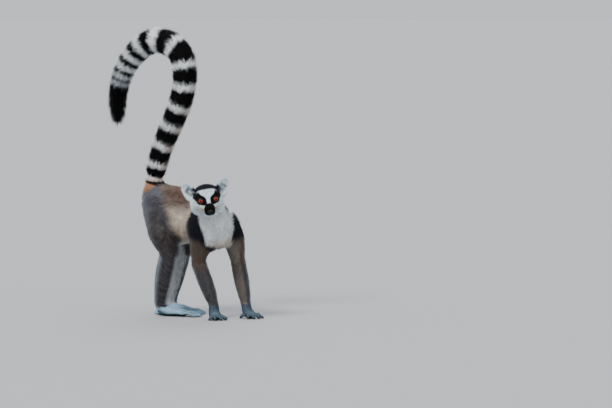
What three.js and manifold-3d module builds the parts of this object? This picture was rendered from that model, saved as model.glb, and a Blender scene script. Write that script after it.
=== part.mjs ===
// A ring-tailed lemur, life size, standing on all fours with its tail raised and hooked over, in mm.
// +Z is up, the ground is z = 0, the trunk runs along Y with the head towards -Y, and +X is its left.
// The hind quarters head a little to its left and the chest a little to its right, where the head looks.
// Every surface is the outline of the coat, so lengths are those of the living animal plus its fur.
import * as THREE from "three";
import { mergeVertices } from "three/addons/utils/BufferGeometryUtils.js";
import Module from "manifold-3d";

const wasm = await Module();
wasm.setup();

// ---------------------------------------------------------------- driving dimensions
const CUT = 0.35; // width of the thin cut between two neighbouring nodes
const PELVIS_TURN = 17; // degrees that the hind quarters head to the animal's left
const CHEST_TURN = -17; // degrees, to its right
const HEAD_TURN = -38; // degrees, the face looks to its right
const HEAD_PITCH = -8; // degrees, the face looks down
const HEAD_ROLL = 8; // degrees, the left ear is the higher one
const EYE_RADIUS = 8.6;
const EYE_SPACING = 30.5;
const SOLE_TRIM = 1.1; // how much of the soles and palms is cut flat, for the animal to stand on
const CELL = { head: 7.6, neck: 14, trunk: 19, thigh: 15, upper_arm: 12.5 }; // mesh sizes

// The joints, as places in the middle of each limb.
const at = (x, y, z) => new THREE.Vector3(x, y, z);
const PELVIS = at(7, 84, 236);
const RUMP = at(12, 46, 234);
const LOIN = at(15, 12, 216);
const THORAX = at(8, -66, 199);
const BREAST = at(-3, -104, 188);
const WITHERS = at(2, -92, 216);
const HEAD = at(-57.8, -133.2, 261);
const LEGS = {
  right: {
    shoulder: at(-28, -83, 204),
    elbow: at(-17.5, -62, 121),
    wrist: at(-15, -107, 33),
    handTurn: -34,
    hip: at(-22, 78, 232),
    knee: at(-50, -10, 140),
    ankle: at(-44, 32, 24),
    footTurn: 27,
  },
  left: {
    shoulder: at(46, -100, 200),
    elbow: at(71, -94, 123),
    wrist: at(62, -128, 33),
    handTurn: -20,
    hip: at(35, 92, 232),
    knee: at(37, 44, 137),
    ankle: at(35, 85, 24),
    footTurn: 5,
  },
};

// The tail's middle line, in the upright plane that the hind quarters head in.
const TAIL_ROOT = at(9, 110, 0);
const TAIL_SIDE = [
  // [forward of the root, height]
  [-2, 262], [2, 292], [8, 325], [20, 362], [38, 402], [58, 443], [74, 486], [80, 531],
  [70, 573], [38, 599], [2, 603], [-28, 590], [-55, 567], [-76, 537], [-89, 500], [-93, 460],
  [-92, 416],
];
// [share of the tail's length, radius of the furred tail]
const TAIL_RADII = [
  [0, 19], [0.07, 21], [0.25, 24], [0.5, 26.5], [0.66, 26], [0.8, 22], [0.93, 18], [1, 13],
];
const TAIL_LENGTHS = 8;
const TAIL_START = 0.045; // share of the middle line that belongs to the rump

// ---------------------------------------------------------------- frames and directions
const radians = THREE.MathUtils.degToRad;
const between = (a, b, share) => a.clone().lerp(b, share);
const direction = (a, b) => b.clone().sub(a).normalize();
const DOWN = at(0, 0, -1);

// The axes of something that heads `turn` degrees to the left of -Y: x is its left, y its back and z its top.
function frame(origin, turn, pitch = 0, roll = 0) {
  const euler = new THREE.Euler(radians(-pitch), radians(-roll), radians(turn), "ZXY");
  return new THREE.Matrix4().makeRotationFromEuler(euler).setPosition(origin);
}

// A frame whose z axis runs along a bone and whose y axis lies near `back`.
function along(from, to, back) {
  const z = direction(from, to);
  const x = back.clone().cross(z).normalize();
  return new THREE.Matrix4().makeBasis(x, z.clone().cross(x), z);
}

// A point given to the left, forward and up in a frame.
const placed = (matrix, left, forward, up) => at(left, -forward, up).applyMatrix4(matrix);

// ---------------------------------------------------------------- shapes as distances, negative inside
function oval(matrix, radii) {
  const inverse = matrix.clone().invert();
  const q = new THREE.Vector3();
  return (p) => {
    q.copy(p).applyMatrix4(inverse).divide(radii);
    const near = q.length();
    const slope = q.divide(radii).length();
    return slope < 1e-9 ? -Math.min(radii.x, radii.y, radii.z) : (near * (near - 1)) / slope;
  };
}

// A bar with round ends that tapers from one radius to another.
function taper(from, to, radiusFrom, radiusTo) {
  const axis = to.clone().sub(from);
  const q = new THREE.Vector3();
  return (p) => {
    const t = THREE.MathUtils.clamp(q.copy(p).sub(from).dot(axis) / axis.lengthSq(), 0, 1);
    const radius = THREE.MathUtils.lerp(radiusFrom, radiusTo, t);
    return q.copy(axis).multiplyScalar(t).add(from).distanceTo(p) - radius;
  };
}

// Joins two distances with a fillet about `width` wide.
function blend(a, b, width) {
  const h = Math.max(width - Math.abs(a - b), 0) / width;
  return Math.min(a, b) - (h * h * width) / 4;
}

function joined(shapes, fillet) {
  return (p) => shapes.reduce((sum, shape) => blend(sum, shape(p), fillet), Infinity);
}

const nearest = (shapes) => (p) => Math.min(...shapes.map((shape) => shape(p)));

// ---------------------------------------------------------------- the head
const headFrame = frame(HEAD, HEAD_TURN, HEAD_PITCH, HEAD_ROLL);
const onHead = (left, forward, up) => placed(headFrame, left, forward, up);
const headOval = (left, forward, up, width, length, height) =>
  oval(headFrame.clone().setPosition(onHead(left, forward, up)), at(width, length, height));
const bothSides = (make) => [make(-1), make(1)];

const skull = joined(
  [
    headOval(0, -10, 4, 30, 31, 27), // brain case
    headOval(0, 8, 0, 27, 20, 23), // face
    ...bothSides((side) => headOval(side * 20, -5, -10, 16, 19, 20)), // furry cheeks
    ...bothSides((side) => headOval(side * 14, 16, 13, 12, 8, 7)), // brows
    ...bothSides((side) => headOval(side * 15, 19, -7, 9, 9, 7)), // below the eyes
    headOval(0, -2, -22, 23, 25, 14), // throat
    taper(onHead(0, 19, -9), onHead(0, 44, -16.5), 16.5, 9.5), // muzzle
    taper(onHead(0, 18, 3), onHead(0, 47, -12), 8.5, 6.5), // bridge of the nose
    taper(onHead(0, 17, -20), onHead(0, 41, -22.5), 11, 6.5), // lower jaw
  ],
  8,
);

// ---------------------------------------------------------------- neck, trunk, limbs, root of the tail
const neck = taper(WITHERS, onHead(0, -14, -8), 37, 26);
const headAndNeck = joined([skull, neck], 12);

const tailForward = at(Math.sin(radians(PELVIS_TURN)), -Math.cos(radians(PELVIS_TURN)), 0);
const tailLine = new THREE.CatmullRomCurve3(
  TAIL_SIDE.map(([forward, z]) => TAIL_ROOT.clone().addScaledVector(tailForward, forward).setZ(z)),
  false,
  "centripetal",
);

const trunk = joined(
  [
    oval(frame(PELVIS, PELVIS_TURN), at(38, 42, 50)),
    oval(frame(RUMP, PELVIS_TURN / 2), at(42, 52, 52)),
    oval(frame(LOIN, 0), at(43, 70, 60)),
    oval(frame(THORAX, CHEST_TURN), at(40, 60, 47)),
    oval(frame(BREAST, CHEST_TURN), at(31, 29, 37)),
    neck,
    taper(tailLine.getPointAt(0), tailLine.getPointAt(0.09), 20, 20),
  ],
  24,
);

function upperArm({ shoulder, elbow }) {
  const bone = along(shoulder, elbow, at(0, 1, 0)).setPosition(between(shoulder, elbow, 0.3));
  return joined([oval(bone, at(19, 29, 54)), taper(between(shoulder, elbow, 0.3), elbow, 21, 17.5)], 10);
}

function thigh({ hip, knee }) {
  const bone = along(hip, knee, at(0, 0, -1)).setPosition(between(hip, knee, 0.42));
  return joined([oval(bone, at(28, 37, 70)), taper(between(hip, knee, 0.5), knee, 28, 22)], 14);
}

const LEG_FILLET = 18;
const withTrunk = (limb) => joined([limb, trunk], LEG_FILLET);
const torso = nearest(Object.values(LEGS).flatMap((leg) => [upperArm(leg), thigh(leg)].map(withTrunk)));

// ---------------------------------------------------------------- meshing by surface nets
const AXES = [[1, 0, 0], [0, 1, 0], [0, 0, 1]];
const CORNERS = [0, 1, 2, 3, 4, 5, 6, 7].map((i) => [i & 1, (i >> 1) & 1, i >> 2]);

// A grid of cubes over a box, with the distance taken at every corner.
function sampled(shape, box, cell) {
  const counts = box.getSize(at(0, 0, 0)).divideScalar(cell).ceil().addScalar(3).toArray();
  const start = box.min.clone().subScalar(1.37 * cell);
  const index = (i, j, k) => i + counts[0] * (j + counts[1] * k);
  const values = new Float32Array(counts[0] * counts[1] * counts[2]);
  const visit = (first, left, use) => {
    for (let k = first; k < counts[2] - left; k++)
      for (let j = first; j < counts[1] - left; j++)
        for (let i = first; i < counts[0] - left; i++) use(i, j, k);
  };
  visit(0, 0, (i, j, k) => {
    values[index(i, j, k)] = shape(at(i, j, k).multiplyScalar(cell).add(start));
  });
  return { start, index, values, visit };
}

// The mean of the places where the surface crosses a cube's edges, in cubes, or nothing.
function crossing(v) {
  const sum = at(0, 0, 0);
  let count = 0;
  for (let a = 0; a < 8; a++)
    for (const b of [a | 1, a | 2, a | 4]) {
      if (b === a || v[a] < 0 === v[b] < 0) continue;
      sum.add(at(...CORNERS[a]).lerp(at(...CORNERS[b]), v[a] / (v[a] - v[b])));
      count++;
    }
  return count ? sum.divideScalar(count) : null;
}

// Moves a point onto the surface along the slope, by less than half a cell.
function settled(p, shape, cell) {
  const moved = p.clone();
  const step = cell * 0.05;
  for (let round = 0; round < 3; round++) {
    const d = shape(moved);
    const slope = at(
      shape(moved.clone().add(at(step, 0, 0))) - d,
      shape(moved.clone().add(at(0, step, 0))) - d,
      shape(moved.clone().add(at(0, 0, step))) - d,
    ).divideScalar(step);
    moved.addScaledVector(slope, -d / Math.max(slope.lengthSq(), 0.2));
  }
  return moved.sub(p).clampLength(0, cell * 0.45).add(p);
}

// Evens out the vertices: each goes halfway to the middle of its neighbours and back onto the surface.
function relaxed(points, quads, shape, cell) {
  const sums = points.map(() => ({ sum: at(0, 0, 0), count: 0 }));
  for (const corners of quads)
    corners.forEach((a, n) => {
      const next = corners[(n + 1) % 4];
      sums[a].sum.add(points[next]);
      sums[a].count++;
      sums[next].sum.add(points[a]);
      sums[next].count++;
    });
  return points.map((p, n) => {
    const { sum, count } = sums[n];
    return settled(p.clone().lerp(sum.divideScalar(count), 0.5), shape, cell);
  });
}

// One vertex for each cube that the surface crosses, one quad for each grid edge, and the box as a lid.
function meshed(distance, box, cell) {
  const { min, max } = box;
  const above = (p) => Math.max(p.x - max.x, p.y - max.y, p.z - max.z);
  const below = (p) => Math.max(min.x - p.x, min.y - p.y, min.z - p.z);
  const shape = (p) => Math.max(distance(p), above(p), below(p));
  const { start, index, values, visit } = sampled(shape, box, cell);
  const vertexOf = new Map();
  let points = [];
  visit(0, 1, (i, j, k) => {
    const middle = crossing(CORNERS.map(([a, b, c]) => values[index(i + a, j + b, k + c)]));
    if (!middle) return;
    vertexOf.set(index(i, j, k), points.length);
    points.push(middle.add(at(i, j, k)).multiplyScalar(cell).add(start));
  });
  const quads = [];
  visit(1, 1, (i, j, k) => {
    const here = values[index(i, j, k)] < 0;
    AXES.forEach((axis, n) => {
      if (here === values[index(i + axis[0], j + axis[1], k + axis[2])] < 0) return;
      const [u, w] = [AXES[(n + 1) % 3], AXES[(n + 2) % 3]];
      const cube = (a, b) => index(...[i, j, k].map((at, m) => at - a * u[m] - b * w[m]));
      const corners = [cube(0, 0), cube(1, 0), cube(1, 1), cube(0, 1)].map((place) => vertexOf.get(place));
      quads.push(here ? corners.reverse() : corners);
    });
  });
  for (let round = 0; round < 4; round++) points = relaxed(points, quads, shape, cell);
  const faces = quads.flatMap((corners) => triangles(corners, points));
  return closedSolid(points.flatMap((p) => p.toArray()), faces);
}

// A quad as two triangles, split along its shorter diagonal.
function triangles([a, b, c, d], points) {
  const firstIsShorter = points[a].distanceTo(points[c]) < points[b].distanceTo(points[d]);
  return firstIsShorter ? [a, b, c, a, c, d] : [a, b, d, b, c, d];
}

// ---------------------------------------------------------------- solids
// A closed three.js geometry as a solid.
function solidOf(geometry) {
  const bare = geometry.clone();
  bare.deleteAttribute("normal");
  bare.deleteAttribute("uv");
  const merged = mergeVertices(bare, 1e-4);
  const vertProperties = new Float32Array(merged.attributes.position.array);
  const triVerts = new Uint32Array(merged.index.array);
  return new wasm.Manifold(new wasm.Mesh({ numProp: 3, vertProperties, triVerts }));
}

// A closed mesh as a solid, with its faces pointing out.
function closedSolid(positions, faces) {
  const made = new THREE.BufferGeometry();
  made.setAttribute("position", new THREE.Float32BufferAttribute(positions, 3));
  made.setIndex(faces);
  const solid = solidOf(made);
  return solid.volume() < 0 ? solidOf(made.setIndex(faces.toReversed())) : solid;
}

function geometryOf(solid) {
  const mesh = solid.getMesh();
  const made = new THREE.BufferGeometry();
  made.setAttribute("position", new THREE.BufferAttribute(mesh.vertProperties, 3));
  made.setIndex(new THREE.BufferAttribute(mesh.triVerts, 1));
  made.computeVertexNormals();
  return made;
}

// An ellipsoid with the given radii in a frame.
function ball(matrix, radii, sides = 14) {
  const sphere = new THREE.SphereGeometry(1, sides, Math.round(sides * 0.7));
  return solidOf(sphere.applyMatrix4(matrix.clone().scale(radii)));
}

// Part of a longer curve.
class Stretch extends THREE.Curve {
  constructor(whole, from, to) {
    super();
    Object.assign(this, { whole, from, to });
  }

  getPoint(share) {
    return this.whole.getPointAt(THREE.MathUtils.lerp(this.from, this.to, share));
  }
}

// Reads a list of [half width, half height] at a share of its length.
function reading(sections) {
  return (share) => {
    const place = share * (sections.length - 1);
    const i = Math.min(Math.floor(place), sections.length - 2);
    return [0, 1].map((n) => THREE.MathUtils.lerp(sections[i][n], sections[i + 1][n], place - i));
  };
}

// A tube with oval sections along a curve: sizeAt(share) gives [half width, half height], and the width
// lies near `across`. The far end is rounded over the length `tip`, or flat where that is 0.
function loft(curve, sizeAt, { sides, rings, across, tip = 0, tipRings = 1 }) {
  const roundShare = tip / curve.getLength();
  const shares = Array.from({ length: rings + 1 }, (_, i) => ((1 - roundShare) * i) / rings);
  for (let i = 1; i <= tipRings && tip; i++)
    shares.push(1 - roundShare * (1 - Math.sin((Math.PI / 2) * (i / (tipRings + 0.6)))));
  const positions = shares.flatMap((share) => {
    const forward = curve.getTangentAt(share);
    const top = across.clone().cross(forward).normalize();
    const side = forward.clone().cross(top);
    const intoTip = tip ? Math.max(0, 1 - (1 - share) / roundShare) : 0;
    const [width, height] = sizeAt(share).map((size) => size * Math.sqrt(1 - intoTip ** 2));
    return Array.from({ length: sides }, (_, s) => {
      const angle = (2 * Math.PI * s) / sides;
      const p = curve.getPointAt(share).addScaledVector(side, width * Math.cos(angle));
      return p.addScaledVector(top, height * Math.sin(angle)).toArray();
    }).flat();
  });
  positions.push(...curve.getPointAt(0).toArray(), ...curve.getPointAt(1).toArray());
  const lastRing = (shares.length - 1) * sides;
  const [startPoint, endPoint] = [lastRing + sides, lastRing + sides + 1];
  const faces = [];
  for (let s = 0; s < sides; s++) {
    const next = (s + 1) % sides;
    for (let ring = 0; ring < lastRing; ring += sides)
      faces.push(ring + s, ring + next, ring + next + sides, ring + s, ring + next + sides, ring + s + sides);
    faces.push(startPoint, next, s, endPoint, lastRing + s, lastRing + next);
  }
  return closedSolid(positions, faces);
}

// ---------------------------------------------------------------- where one node parts from the next
// The solid on the far side of a plane, half a cut away from it.
function beyond(solid, middle, normal) {
  const REACH = 900;
  const block = new THREE.BoxGeometry(REACH, REACH, REACH).translate(0, (REACH + CUT) / 2, 0);
  block.applyQuaternion(new THREE.Quaternion().setFromUnitVectors(at(0, 1, 0), normal));
  return solid.intersect(solidOf(block.translate(middle.x, middle.y, middle.z)));
}

const before = (solid, middle, normal) => beyond(solid, middle, normal.clone().negate());
const larger = (a, b) => (b.volume() > a.volume() ? b : a);
const largest = (solid) => solid.decompose().reduce(larger);
const boxRound = (points, margin) => new THREE.Box3().setFromPoints(points).expandByScalar(margin);

// Limbs and neck part from the trunk along an egg-shaped face, given here by its frame and radii.
function limbEgg(from, to, outward, radii) {
  const middle = between(from, to, 0.55).addScaledVector(at(1, 0, 0), outward);
  return { matrix: along(from, to, at(0, 1, 0)).setPosition(middle), radii };
}

const eggSolid = ({ matrix, radii }, gap) => ball(matrix, radii.clone().addScalar(gap), 12);

const headward = direction(WITHERS, HEAD);
const nape = HEAD.clone().addScaledVector(headward, -24);
const neckBase = HEAD.clone().addScaledVector(headward, -36);
const EGGS = { neck: { matrix: new THREE.Matrix4().setPosition(neckBase), radii: at(47, 47, 47) } };
for (const [name, { shoulder, elbow, hip, knee }] of Object.entries(LEGS)) {
  const outward = name === "left" ? 9 : -9;
  EGGS[`upper_arm_${name}`] = limbEgg(shoulder, elbow, outward, at(35, 44, 78));
  EGGS[`thigh_${name}`] = limbEgg(hip, knee, outward, at(46, 56, 110));
}

// ---------------------------------------------------------------- materials
const finish = (color, roughness = 0.9) => new THREE.MeshStandardMaterial({ color, roughness, metalness: 0 });
const COATS = {
  white: finish(0xdad7d0),
  grey: finish(0x7d736b),
  flank: finish(0x94857a),
  ringed: finish(0x55504c),
  skin: finish(0x2b2a2d, 0.7),
  iris: finish(0xc2551c, 0.08),
};

const lemur = new THREE.Group();

function add(name, solid, material) {
  const mesh = new THREE.Mesh(geometryOf(solid), material);
  mesh.name = name;
  lemur.add(mesh);
}

// ---------------------------------------------------------------- head, eyes, nose and ears
const eyeFrame = (side) => headFrame.clone().setPosition(onHead((side * EYE_SPACING) / 2, 20, 5));
const eyeBall = (side, gap) => ball(eyeFrame(side), at(1, 1, 1).multiplyScalar(EYE_RADIUS + gap), 11);
const noseFrame = headFrame.clone().setPosition(onHead(0, 52, -15.5));
const noseBall = (gap) => ball(noseFrame, at(7, 5, 5.5).addScalar(gap), 10);

// A leaf whose sheet is cupped forward, rooted in the side of the head and rounded at the tip.
function earLeaf(side) {
  const root = onHead(side * 25, -8, 8);
  const tip = onHead(side * 45.5, -13, 40);
  const long = tip.clone().sub(root);
  const open = onHead(side * 0.5, 1, 0).sub(HEAD);
  const across = long.clone().cross(open).normalize();
  const front = across.clone().cross(long).normalize();
  const [HALF_WIDTH, CUP, BOW, THICKNESS, WIDEST] = [14, 9, 4, 3.6, 0.42];
  const spread = (rise) => {
    const reach = rise > WIDEST ? 1 - WIDEST : 1.25 * WIDEST;
    return HALF_WIDTH * Math.sqrt(1 - Math.abs((rise - WIDEST) / reach) ** 2.4);
  };
  return sheet(6, 5, THICKNESS, front, (u, v) => {
    const rise = 0.97 * u;
    const roll = CUP * v * v * (1 - 0.5 * rise) - BOW * Math.sin(Math.PI * rise);
    const middle = root.clone().addScaledVector(long, rise);
    return middle.addScaledVector(across, v * spread(rise)).addScaledVector(front, roll);
  });
}

// A closed sheet of even thickness round a surface given for u in 0..1 and v in -1..1.
function sheet(steps, stepsAcross, thickness, front, surface) {
  const row = stepsAcross + 1;
  const back = (steps + 1) * row;
  const positions = [];
  for (const offset of [thickness / 2, -thickness / 2])
    for (let i = 0; i <= steps; i++)
      for (let j = 0; j <= stepsAcross; j++) {
        const v = (2 * j) / stepsAcross - 1;
        positions.push(...surface(i / steps, v).addScaledVector(front, offset * (1 - 0.4 * v * v)).toArray());
      }
  const faces = [];
  const quad = (a, b, c, d) => faces.push(a, b, c, a, c, d);
  const wall = (a, b) => quad(a, b, back + b, back + a);
  for (let i = 0; i < steps; i++)
    for (let j = 0; j < stepsAcross; j++) {
      const a = i * row + j;
      quad(a, a + 1, a + row + 1, a + row);
      quad(back + a, back + a + row, back + a + row + 1, back + a + 1);
    }
  for (let i = 0; i < steps; i++) {
    wall(i * row, (i + 1) * row);
    wall((i + 1) * row + stepsAcross, i * row + stepsAcross);
  }
  for (let j = 0; j < stepsAcross; j++) {
    wall(j + 1, j);
    wall(steps * row + j, steps * row + j + 1);
  }
  return closedSolid(positions, faces);
}

const headBox = boxRound([onHead(0, 30, 0), onHead(0, -30, -6)], 44);
let headSolid = largest(beyond(meshed(headAndNeck, headBox, CELL.head), nape, headward));
// The ears sit on the head's own surface, which is grown a little to keep the cut.
const EAR_ROOM = 1.012;
const shiftOfHead = HEAD.clone().multiplyScalar(1 - EAR_ROOM).toArray();
const grownHead = headSolid.scale([EAR_ROOM, EAR_ROOM, EAR_ROOM]).translate(shiftOfHead);
for (const [name, side] of [["right", -1], ["left", 1]]) {
  add(`ear_${name}`, largest(earLeaf(side).subtract(grownHead)), COATS.white);
  add(`eye_${name}`, eyeBall(side, 0), COATS.iris);
  headSolid = headSolid.subtract(eyeBall(side, CUT));
}
add("nose", noseBall(0), COATS.skin);
add("head", largest(headSolid.subtract(noseBall(CUT))), COATS.white);

// ---------------------------------------------------------------- neck and trunk
const armEggs = [EGGS.upper_arm_right, EGGS.upper_arm_left];
const neckShape = nearest([headAndNeck, torso]);
let neckSolid = before(meshed(neckShape, boxRound([neckBase], 60), CELL.neck), nape, headward);
neckSolid = neckSolid.intersect(eggSolid(EGGS.neck, 0));
for (const egg of armEggs) neckSolid = neckSolid.subtract(eggSolid(egg, CUT));
add("neck", largest(neckSolid), COATS.white);

const tailStart = tailLine.getPointAt(TAIL_START);
const tailward = tailLine.getTangentAt(TAIL_START);
const trunkBox = new THREE.Box3(at(-70, -170, 110), at(95, 150, 310));
let trunkSolid = before(meshed(torso, trunkBox, CELL.trunk), tailStart, tailward);
for (const egg of Object.values(EGGS)) trunkSolid = trunkSolid.subtract(eggSolid(egg, CUT));
add("trunk", largest(trunkSolid), COATS.flank);

// ---------------------------------------------------------------- legs
// Sections of the lower limbs:
// [share of the bone, half width, half depth, how far the middle lies behind the bone].
const FOREARM = [
  [-0.15, 17, 17, 0], [0.1, 18, 18, 0], [0.35, 18, 18.5, 0], [0.65, 16, 16, 0], [1.1, 10.5, 11, 0],
];
const SHANK = [
  [-0.15, 20, 21, 7], [0.1, 22, 24, 6], [0.35, 21, 24, 7], [0.65, 17, 19, 5], [1.1, 13.5, 14, 0],
];

function upperNode(name, limb, [from, to], cell, normal) {
  const whole = meshed(withTrunk(limb), boxRound([from, to], 60), cell).intersect(eggSolid(EGGS[name], 0));
  add(name, largest(before(whole, to, normal)), COATS.grey);
}

function lowerNode(name, [from, to], sections, normal) {
  const path = sections.map(([share, , , back]) => between(from, to, share).add(at(0, back, 0)));
  const sizes = reading(sections.map(([, width, depth]) => [width, depth]));
  const limb = loft(new THREE.CatmullRomCurve3(path), sizes, { sides: 12, rings: 8, across: at(1, 0, 0) });
  add(name, before(beyond(limb, from, normal), to, DOWN), COATS.grey);
}

for (const [name, leg] of Object.entries(LEGS)) {
  const { shoulder, elbow, wrist, hip, knee, ankle } = leg;
  const [atElbow, atKnee] = [direction(shoulder, wrist), direction(hip, ankle)];
  upperNode(`upper_arm_${name}`, upperArm(leg), [shoulder, elbow], CELL.upper_arm, atElbow);
  lowerNode(`forearm_${name}`, [elbow, wrist], FOREARM, atElbow);
  upperNode(`thigh_${name}`, thigh(leg), [hip, knee], CELL.thigh, atKnee);
  lowerNode(`shank_${name}`, [knee, ankle], SHANK, atKnee);
}

// ---------------------------------------------------------------- hands and feet
// A finger or toe as a bent tapering tube through [left, forward, up] in the hand's own frame.
function digit(matrix, points, thick, thin) {
  const curve = new THREE.CatmullRomCurve3(points.map((point) => placed(matrix, ...point)));
  const size = (share) => Array(2).fill(THREE.MathUtils.lerp(thick, thin, share));
  return loft(curve, size, { sides: 5, rings: 2, across: at(1, 0, 0).transformDirection(matrix), tip: thin });
}

// The palm or sole as a flattened tube, its sections given as [half width, half height].
function pad(matrix, points, sections) {
  const across = at(1, 0, 0).transformDirection(matrix);
  const path = new THREE.CatmullRomCurve3(points);
  return loft(path, reading(sections), { sides: 10, rings: 4, across, tip: 5 });
}

// The four long digits: [place of the knuckle across the palm, reach, spread of the tip].
const FINGERS = [[-9.5, 56, -9], [-3.3, 63, -3.5], [3.3, 62, 3.5], [9.5, 54, 9]];
const TOES = [[-7, 86, -5], [-1, 97, -2], [5.5, 98, 2], [11, 89, 6]];

function hand(leg, side) {
  const palm = frame(leg.wrist.clone().setZ(0), leg.handTurn);
  const arm = direction(leg.elbow, leg.wrist);
  const path = [leg.wrist.clone().addScaledVector(arm, -12), leg.wrist];
  path.push(placed(palm, 0, 9, 15), placed(palm, 0, 23, 10.5), placed(palm, 0, 37, 8));
  let solid = pad(palm, path, [[11, 11], [11, 10.5], [12.5, 10.5], [14.5, 8.5], [13, 6.5]]);
  for (const [place, reach, spread] of FINGERS) {
    const bend = [place + spread * 0.4, 42, 11];
    const tip = [place + spread, reach, 3.9];
    const points = [[place, 22, 8], bend, [place + spread * 0.8, reach - 9, 6.5], tip];
    solid = solid.add(digit(palm, points, 4.9, 3.7));
  }
  const thumb = [[6, 10, 10], [15, 17, 8.5], [22, 24, 5.5], [26, 29, 4]];
  solid = solid.add(digit(palm, thumb.map(([out, forward, up]) => [-side * out, forward, up]), 5.2, 3.9));
  return beyond(ontoGround(solid), leg.wrist, DOWN);
}

function foot(leg, side) {
  const sole = frame(leg.ankle.clone().setZ(0), leg.footTurn);
  const shin = direction(leg.knee, leg.ankle);
  const path = [leg.ankle.clone().addScaledVector(shin, -12), leg.ankle];
  path.push(placed(sole, 0, 8, 14), placed(sole, 0, 34, 11.5), placed(sole, 0, 62, 8));
  let solid = pad(sole, path, [[13.5, 13.5], [13.5, 13.5], [13, 12], [14, 9.5], [14.5, 7]]);
  const heel = [[0, -14, 8], [0, -8, 9], [0, 5, 10.5], [0, 24, 10]].map((point) => placed(sole, ...point));
  solid = solid.add(pad(sole, heel, [[4, 3.5], [9, 8], [11, 9.5], [12, 9]]));
  for (const [place, reach, spread] of TOES) {
    const bend = [side * (place + spread * 0.4), 71, 10];
    const tip = [side * (place + spread), reach, 4.1];
    const points = [[side * place, 52, 9], bend, [side * (place + spread * 0.8), reach - 10, 6.5], tip];
    solid = solid.add(digit(sole, points, 5.4, 3.9));
  }
  const bigToe = [[6, 36, 9], [17, 50, 9], [25, 63, 7], [28, 71, 4.8]];
  solid = solid.add(digit(sole, bigToe.map(([out, forward, up]) => [-side * out, forward, up]), 6.4, 4.7));
  return beyond(ontoGround(solid), leg.ankle, DOWN);
}

// Lowers a hand or foot until its lowest bits reach SOLE_TRIM under the ground, and cuts them off there.
function ontoGround(solid) {
  const lowered = solid.translate([0, 0, -solid.boundingBox().min[2] - SOLE_TRIM]);
  return beyond(lowered, at(0, 0, -CUT / 2), at(0, 0, 1));
}

for (const [name, side] of [["right", -1], ["left", 1]]) {
  add(`hand_${name}`, hand(LEGS[name], side), COATS.skin);
  add(`foot_${name}`, foot(LEGS[name], side), COATS.white);
}

// ---------------------------------------------------------------- the tail, in lengths
function tailRadius(share) {
  const next = Math.max(1, TAIL_RADII.findIndex(([s]) => s >= share));
  const [[s0, r0], [s1, r1]] = [TAIL_RADII[next - 1], TAIL_RADII[next]];
  return THREE.MathUtils.mapLinear(share, s0, s1, r0, r1);
}

function tailLength(from, to, tip) {
  const size = (share) => Array(2).fill(tailRadius(THREE.MathUtils.lerp(from, to, share)));
  const across = at(Math.cos(radians(PELVIS_TURN)), Math.sin(radians(PELVIS_TURN)), 0);
  return loft(new Stretch(tailLine, from, to), size, { sides: 12, rings: 4, across, tip, tipRings: 3 });
}

const halfCut = CUT / 2 / tailLine.getLength();
for (let i = 0; i < TAIL_LENGTHS; i++) {
  const from = THREE.MathUtils.lerp(TAIL_START, 1, i / TAIL_LENGTHS) + halfCut;
  const to = THREE.MathUtils.lerp(TAIL_START, 1, (i + 1) / TAIL_LENGTHS) - halfCut;
  add(`tail_${i + 1}`, tailLength(from, to, i === TAIL_LENGTHS - 1 ? 26 : 0), COATS.ringed);
}

// The origin is on the ground, below the middle of the whole animal.
const middle = new THREE.Box3().setFromObject(lemur).getCenter(at(0, 0, 0));
lemur.position.set(-middle.x, -middle.y, 0);

export default lemur;
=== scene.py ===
"""A ring-tailed lemur, standing with its tail raised and hooked over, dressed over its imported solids.

One skin replaces the solids of flesh and lies inside them by the depth of the coat. The coat is tufts of
solid mesh that follow the lie of the fur. Eyes, lids, nose, nails and whiskers are pieces of their own.

MM turns millimetres into metres. The functions of markings count in millimetres: in the head's frame as
(left, forward, up), and on the body across the breast and above the eyes.
"""

import math
from itertools import product

import bpy
import numpy as np
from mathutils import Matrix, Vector
from mathutils.bvhtree import BVHTree
from mathutils.kdtree import KDTree


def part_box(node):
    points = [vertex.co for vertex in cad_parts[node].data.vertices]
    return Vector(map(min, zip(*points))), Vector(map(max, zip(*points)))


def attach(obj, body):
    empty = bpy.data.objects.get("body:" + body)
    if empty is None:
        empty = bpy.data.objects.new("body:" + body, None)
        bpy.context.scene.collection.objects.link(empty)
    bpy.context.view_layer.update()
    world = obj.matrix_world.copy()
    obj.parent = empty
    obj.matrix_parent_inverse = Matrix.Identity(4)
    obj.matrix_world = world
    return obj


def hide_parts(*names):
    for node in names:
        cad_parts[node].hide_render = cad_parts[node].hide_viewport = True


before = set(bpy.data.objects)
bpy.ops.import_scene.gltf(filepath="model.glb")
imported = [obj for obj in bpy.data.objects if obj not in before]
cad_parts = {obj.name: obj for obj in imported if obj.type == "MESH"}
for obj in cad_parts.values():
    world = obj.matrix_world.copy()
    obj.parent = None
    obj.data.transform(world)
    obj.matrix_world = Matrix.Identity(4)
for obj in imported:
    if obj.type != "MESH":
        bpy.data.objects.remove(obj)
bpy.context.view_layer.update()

MM = 0.001
rng = np.random.default_rng(7)

# ---------------------------------------------------------------- driving values
VOXEL = 1.5 * MM  # mesh size of the skin
SWELL = 0.45 * MM  # closes the thin cuts between the solids
SKIN_FLOOR, COAT_FLOOR = 0.15 * MM, 0.3 * MM  # nothing of the skin or coat lies lower
SAME = 0.001 * MM  # vertices of a solid closer than this are one
TOUCHING = 0.8 * MM  # how near one solid lies to the next where they meet
NOSE_DROP = math.atan2(20.5, 32)  # how far the nose lies below the eyes' level, seen from between the eyes
EYES_TO_MIDDLE = (0, 20, 5)  # mm, the eyes' middle in the head's frame
LOOK_OUT, LOOK_UP = 0.22, 0.02  # how far the eyes look outward and up, as shares of forward

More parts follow.
